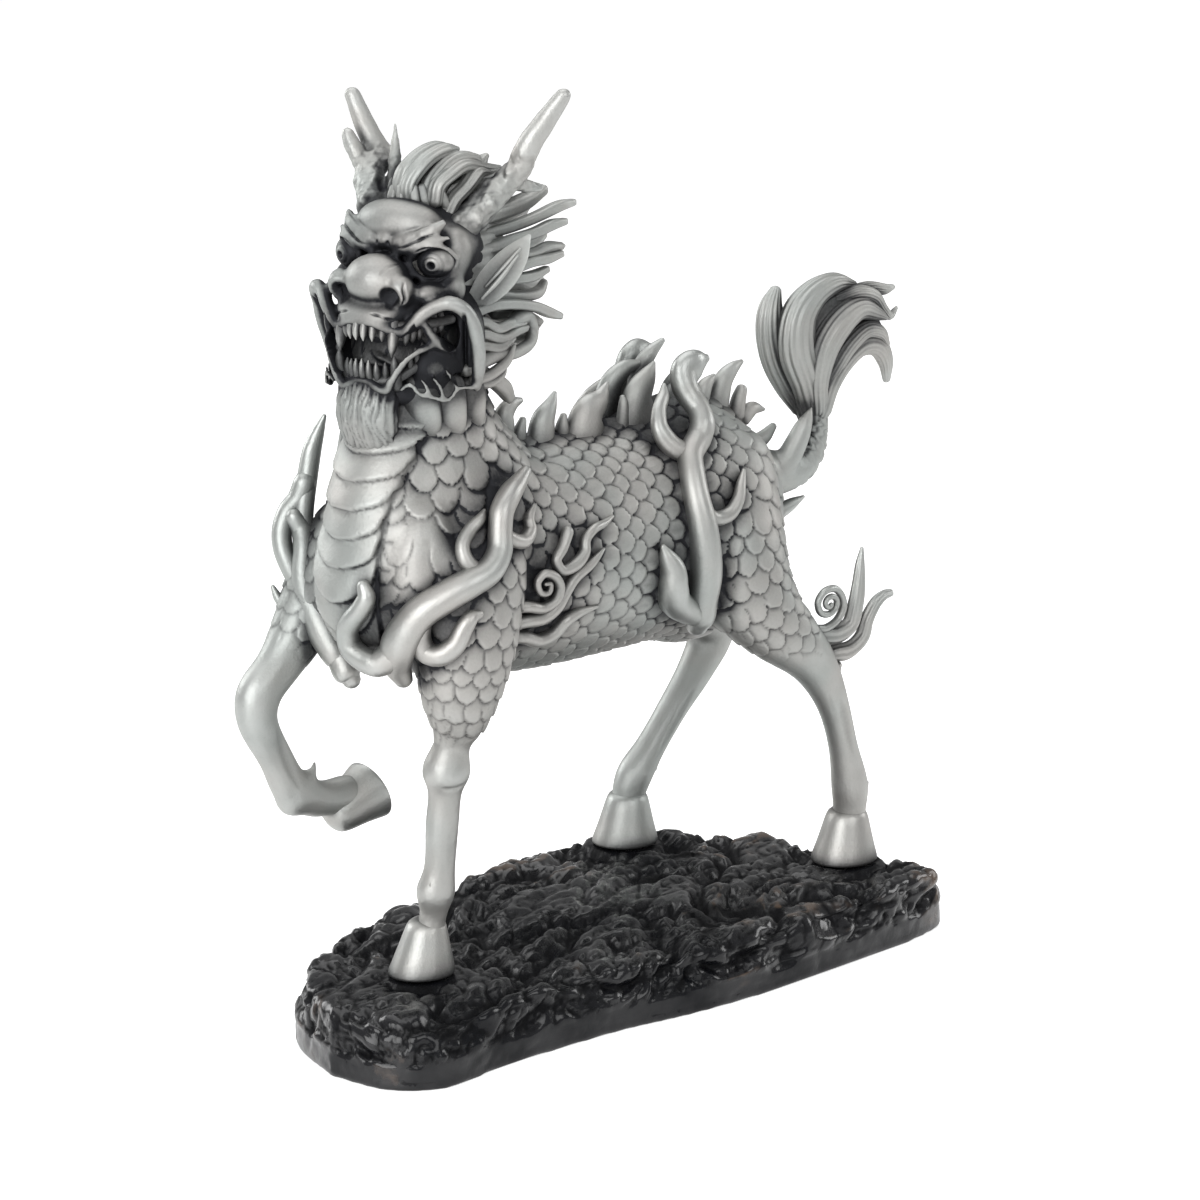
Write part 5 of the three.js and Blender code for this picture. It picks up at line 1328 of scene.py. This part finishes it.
def piece(name, meshes, most=190000):
    """A finished piece in the part's frame, thinned to no more than the given number of faces."""
    mesh = gathered(meshes) if len(meshes) > 1 else meshes[0]
    mesh.transform(FIGURE_PLACE)
    faces = sum(len(p.vertices) - 2 for p in mesh.polygons)
    if faces > most:
        mesh = finished_by(mesh, "DECIMATE", ratio=most / faces)
    mesh.name = name
    obj = bpy.data.objects.new(name, mesh)
    bpy.context.scene.collection.objects.link(obj)
    mesh.polygons.foreach_set("use_smooth", np.ones(len(mesh.polygons), bool))
    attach(obj, "root")
    made.append(obj)
    return obj


def coords(mesh, what="co", source=None):
    data = np.empty(len(mesh.vertices) * 3, np.float32)
    (mesh.vertices if source is None else source).foreach_get(what, data)
    return data.reshape(-1, 3).astype(float)


def hollow_shade_and_patina(objects, shares):
    """Writes how deep each spot lies in a hollow, from the metal round it, for painted shade and dark patina
    in the hollows and between the pieces. Open forms take less.
    """
    places = [coords(obj.data) * 1000 for obj in objects]
    outs = [coords(obj.data, "vector", obj.data.vertex_normals) for obj in objects]
    whole = bpy.data.objects.new("whole", gathered([obj.data for obj in objects]))
    bpy.context.scene.collection.objects.link(whole)
    bpy.context.view_layer.update()
    areas = []
    for obj, place, out in zip(objects, places, outs):
        mesh = obj.data
        area = np.empty(len(mesh.polygons), np.float32)
        mesh.polygons.foreach_get("area", area)
        corners = np.empty(len(mesh.polygons), int)
        mesh.polygons.foreach_get("loop_total", corners)
        index = np.empty(len(mesh.loops), int)
        mesh.loops.foreach_get("vertex_index", index)
        total = np.bincount(index, np.repeat(area / corners, corners), len(mesh.vertices)) * 1e6
        # A spot inside another form crowds nothing
        for n, (p, way) in enumerate(zip((place + out * 0.03) / 1000, out)):
            hit, _, face, _ = whole.ray_cast(p, way)
            if hit and face.dot(way) > 0:
                total[n] = 0
        areas.append(total)
    bpy.data.objects.remove(whole)
    every = np.vstack(places)
    cell = 0.9
    margin = 14
    low = every.min(0) - margin
    shape = np.ceil((every.max(0) + margin - low) / cell).astype(int)
    where = ((every - low) / cell).astype(int)
    flat = np.ravel_multi_index(where.T, shape)
    crowd = np.bincount(flat, np.concatenate(areas), int(np.prod(shape))).reshape(shape)
    spectrum = np.fft.rfftn(crowd)
    freq = [np.fft.fftfreq(n, cell) for n in shape[:2]] + [np.fft.rfftfreq(shape[2], cell)]
    squared = freq[0][:, None, None] ** 2 + freq[1][None, :, None] ** 2 + freq[2][None, None, :] ** 2
    fields = []
    for spread in (1.3, 4.2):
        field = np.fft.irfftn(spectrum * np.exp(-2 * (math.pi * spread) ** 2 * squared), s=shape)
        fields.append((spread, field / cell ** 3))
    for obj, place, out in zip(objects, places, outs):
        total = np.zeros(len(place))
        for (spread, field), weight in zip(fields, (0.5, 0.75)):
            at = (place + out * spread * 0.9 - low) / cell - 0.5
            base = np.clip(np.floor(at).astype(int), 0, np.array(shape) - 2)
            part = at - base
            value = 0
            for corner in np.ndindex(2, 2, 2):
                share = np.prod(np.where(corner, part, 1 - part), axis=1)
                value = value + share * field[tuple((base + corner).T)]
            plain = math.exp(-0.5 * 0.81) / (math.sqrt(2 * math.pi) * spread)
            total += weight * np.clip(value / plain - 1, -0.6, 1.6)
        total = np.where(total > 0, total * shares.get(obj.name, 0.95), total)
        patina_and_shade_layer = obj.data.attributes.new("hollow", "FLOAT", "POINT")
        patina_and_shade_layer.data.foreach_set("value", np.clip(total, -1, 1.5).astype(np.float32))
        if not obj.data.attributes.get("shade_and_patina"):
            obj.data.attributes.new("shade_and_patina", "FLOAT", "POINT")


# Finishes

class Value:
    """A socket that adds its own Math nodes."""

    def __init__(self, nodes, socket):
        self.nodes = nodes
        self.socket = socket

    def _math(self, operation, *others):
        values = [other.socket if isinstance(other, Value) else other for other in others]
        return self.nodes.add("ShaderNodeMath", {"operation": operation}, dict(enumerate(values)))

    def __add__(self, other):
        return self._math("ADD", self, other)

    __radd__ = __add__

    def __mul__(self, other):
        return self._math("MULTIPLY", self, other)

    __rmul__ = __mul__

    def __sub__(self, other):
        return self._math("SUBTRACT", self, other)

    def __rsub__(self, other):
        return self._math("SUBTRACT", other, self)

    def clipped(self):
        return self._math("MINIMUM", self._math("MAXIMUM", self, 0.0), 1.0)


class Finish:
    """One material and the nodes in it."""

    def __init__(self, name):
        self.material = bpy.data.materials.new(name)
        self.material.use_nodes = True
        self.tree = self.material.node_tree
        self.tree.nodes.clear()
        self.shader = self.tree.nodes.new("ShaderNodeBsdfPrincipled")
        out = self.tree.nodes.new("ShaderNodeOutputMaterial")
        self.tree.links.new(self.shader.outputs[0], out.inputs[0])

    def add(self, kind, settings, inputs, output=0):
        node = self.tree.nodes.new(kind)
        for name, value in settings.items():
            setattr(node, name, value)
        for key, value in inputs.items():
            self.set(node.inputs[key], value)
        return Value(self, node.outputs[output])

    def set(self, socket, value):
        if isinstance(value, Value):
            value = value.socket
        if isinstance(value, bpy.types.NodeSocket):
            self.tree.links.new(value, socket)
        else:
            socket.default_value = value

    def surface(self, **sockets):
        for name, value in sockets.items():
            self.set(self.shader.inputs[name.replace("_", " ")], value)
        return self.material

    def attribute(self, name):
        return self.add("ShaderNodeAttribute", {"attribute_name": name}, {}, "Fac")

    def noise(self, scale, detail=4.0, roughness=0.55):
        spot = self.add("ShaderNodeTexCoord", {}, {}, "Object")
        return self.add("ShaderNodeTexNoise", {}, {"Vector": spot, "Scale": scale, "Detail": detail,
                                                   "Roughness": roughness})

    def blend(self, share, one, two):
        return self.add("ShaderNodeMix", {"data_type": "RGBA"}, {0: share, 6: one, 7: two}, 2)

    def span(self, value, low, high, to_low=0.0, to_high=1.0):
        return self.add("ShaderNodeMapRange", {"interpolation_type": "SMOOTHSTEP"},
                        {"Value": value, "From Min": low, "From Max": high, "To Min": to_low,
                         "To Max": to_high})

    def bump(self, height, strength, distance):
        return self.add("ShaderNodeBump", {}, {"Height": height, "Strength": strength, "Distance": distance})


def pewter(name="pewter", shine=0.0):
    """Satin cast pewter: bright where it is rubbed, near black in its hollows and grooves, from dark patina
    and painted shade.
    """
    f = Finish(name)
    mottle = f.noise(90, 5.0)
    grain = f.noise(1500, 3.0)
    tone = f.noise(28, 3.0)
    # Painted shade and dark patina: the metal goes near black with the depth of its hollows and grooves.
    depth = f.attribute("hollow") + (mottle - 0.5) * 0.4
    dark = (f.span(depth, 0.0, 1.15) * 0.82 + f.attribute("shade_and_patina") * 0.66 + (grain - 0.5) * 0.2).clipped()
    rubbed = f.span(f.attribute("hollow"), -0.05, -0.4)
    warm = f.blend(f.span(tone, 0.35, 0.65), (0.42, 0.44, 0.425, 1), (0.475, 0.465, 0.445, 1))
    bright = f.blend(rubbed * 0.5, warm, (0.58, 0.595, 0.58, 1))
    colour = f.blend(dark, bright, (0.03, 0.031, 0.035, 1))
    return f.surface(
        Base_Color=colour, Metallic=0.88,
        Roughness=(dark * 0.1 + 0.52 - shine - rubbed * 0.05 + (mottle - 0.5) * 0.14).clipped(),
        Normal=f.bump(grain, 0.45, 0.00016))


def dark_stone():
    """Near-black stone with a wet gloss, rubbed brown on a few edges."""
    f = Finish("dark_stone")
    patch = f.noise(38, 5.0)
    grain = f.noise(420, 6.0, 0.7)
    flake = f.noise(150, 4.0, 0.6)
    edge = (f.span(f.attribute("hollow") + (patch - 0.5) * 0.6, 0.12, -0.15) * f.span(patch, 0.56,
                                                                                      0.64)).clipped()
    base = f.blend(f.span(patch, 0.3, 0.7), (0.004, 0.0045, 0.006, 1), (0.01, 0.01, 0.0115, 1))
    # Painted shade: the creases go darker still.
    deep = f.blend(f.attribute("shade_and_patina") * 0.8, base, (0.001, 0.001, 0.0013, 1))
    open_stone = 1.1 - f.attribute("shade_and_patina") * 1.2 - f.span(f.attribute("hollow"), 0.0, 0.8) * 0.7
    gloss = (open_stone * f.span(patch, 0.3, 0.62, 0.3, 1.0)).clipped()
    colour = f.blend(edge * 0.7, deep, (0.13, 0.09, 0.065, 1))
    return f.surface(
        Base_Color=colour, Metallic=0.0, Roughness=(0.12 + patch * 0.16 + f.attribute("shade_and_patina") * 0.4 + edge
                                                    * 0.12).clipped(),
        Specular_IOR_Level=0.1, Coat_Roughness=0.16, Coat_Weight=gloss,
        Normal=f.bump(grain * 0.16 + flake, 0.8, 0.0007))


# Room

CAMERA_AIM = (-0.03642, -0.035686, 0.1043)
CAMERA_AWAY = 0.9
CAMERA_TURN, CAMERA_LIFT = math.radians(-44), math.radians(15)


def room():
    scene = bpy.context.scene
    world = bpy.data.worlds.new("room")
    world.use_nodes = True
    tree = world.node_tree
    # The walls show white but light the metal less
    seen = tree.nodes.new("ShaderNodeLightPath")
    level = tree.nodes.new("ShaderNodeMath")
    level.operation = "MULTIPLY_ADD"
    level.inputs[1].default_value = 0.75
    level.inputs[2].default_value = 0.3
    tree.links.new(seen.outputs["Is Camera Ray"], level.inputs[0])
    tree.links.new(level.outputs[0], tree.nodes["Background"].inputs[1])
    tree.nodes["Background"].inputs[0].default_value = (1, 1, 1, 1)
    scene.world = world
    scene.view_settings.view_transform = "Standard"

    bm = bmesh.new()
    bmesh.ops.create_grid(bm, x_segments=1, y_segments=1, size=3)
    floor = bpy.data.objects.new("floor", as_mesh(bm))
    scene.collection.objects.link(floor)
    f = Finish("pale_floor")
    glow = f.blend(f.add("ShaderNodeLightPath", {}, {}, "Is Camera Ray"), (0.14, 0.14, 0.14, 1),
                   (0.72, 0.72, 0.72, 1))
    floor.data.materials.append(f.surface(Base_Color=(0.9, 0.9, 0.9, 1), Roughness=0.35, Emission_Color=glow,
                                          Emission_Strength=1.0))

    for name, spot, aim, size, power in (
            ("left", (-0.95, -0.3, 0.5), (0, 0, 0.12), 0.8, 7.5),
            ("front", (-0.15, -1.1, 0.75), (0, 0, 0.1), 0.7, 4),
            ("right", (0.9, -0.35, 0.4), (0, 0, 0.1), 0.4, 1.6),
            ("top", (0.05, 0.2, 1.0), (0, 0, 0.1), 1.1, 5.6),
            ("back", (-0.3, 0.9, 0.45), (0, 0, 0.12), 0.5, 3)):
        lamp = bpy.data.lights.new(name, "AREA")
        lamp.size = size
        lamp.energy = power
        obj = bpy.data.objects.new(name, lamp)
        obj.location = spot
        obj.rotation_euler = (Vector(spot) - Vector(aim)).to_track_quat("Z", "Y").to_euler()
        scene.collection.objects.link(obj)

    eye = bpy.data.cameras.new("camera")
    eye.lens = 120.15
    eye.sensor_width = 36
    camera = bpy.data.objects.new("camera", eye)
    along_ground = math.cos(CAMERA_LIFT)
    back = Vector((math.sin(CAMERA_TURN) * along_ground, -math.cos(CAMERA_TURN) * along_ground,
                   math.sin(CAMERA_LIFT)))
    camera.location = Vector(CAMERA_AIM) + back * CAMERA_AWAY
    camera.rotation_euler = back.to_track_quat("Z", "Y").to_euler()
    scene.collection.objects.link(camera)
    scene.camera = camera


metal = pewter()
polished = pewter("polished_pewter", 0.07)
stone = dark_stone()

body = piece("qilin_body", [carve_body()], 196000)
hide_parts("qilin")
piece("qilin_head", [carve_head()], 190000)
piece("horns", [carve_horns()], 60000)
piece("mane", mane() + top_locks(), 150000)
piece("beard", beard(), 50000)
piece("ears_and_whiskers", ears() + whiskers())
bite = piece("teeth", teeth())
sight = piece("eyes", eyes())
flames = piece("flames", shoulder_flames() + flank_flames() + haunch_flames() + hock_flames(),
               90000)
piece("fins", fins())
piece("tail", [tail()], 40000)
piece("tail_tuft", tail_tuft())
feet = piece("hooves", [hooves()])
base = piece("rock", [rock()], 110000)
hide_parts("rock_base")

hollow_shade_and_patina(made, {"mane": 0.32, "ears_and_whiskers": 0.4, "flames": 0.42, "tail": 0.5, "tail_tuft": 0.85,
             "fins": 0.6, "horns": 0.7})
for obj in made:
    obj.data.materials.clear()
    obj.data.materials.append(stone if obj is base else polished if obj in (flames, sight, bite,
                                                                            feet) else metal)

room()
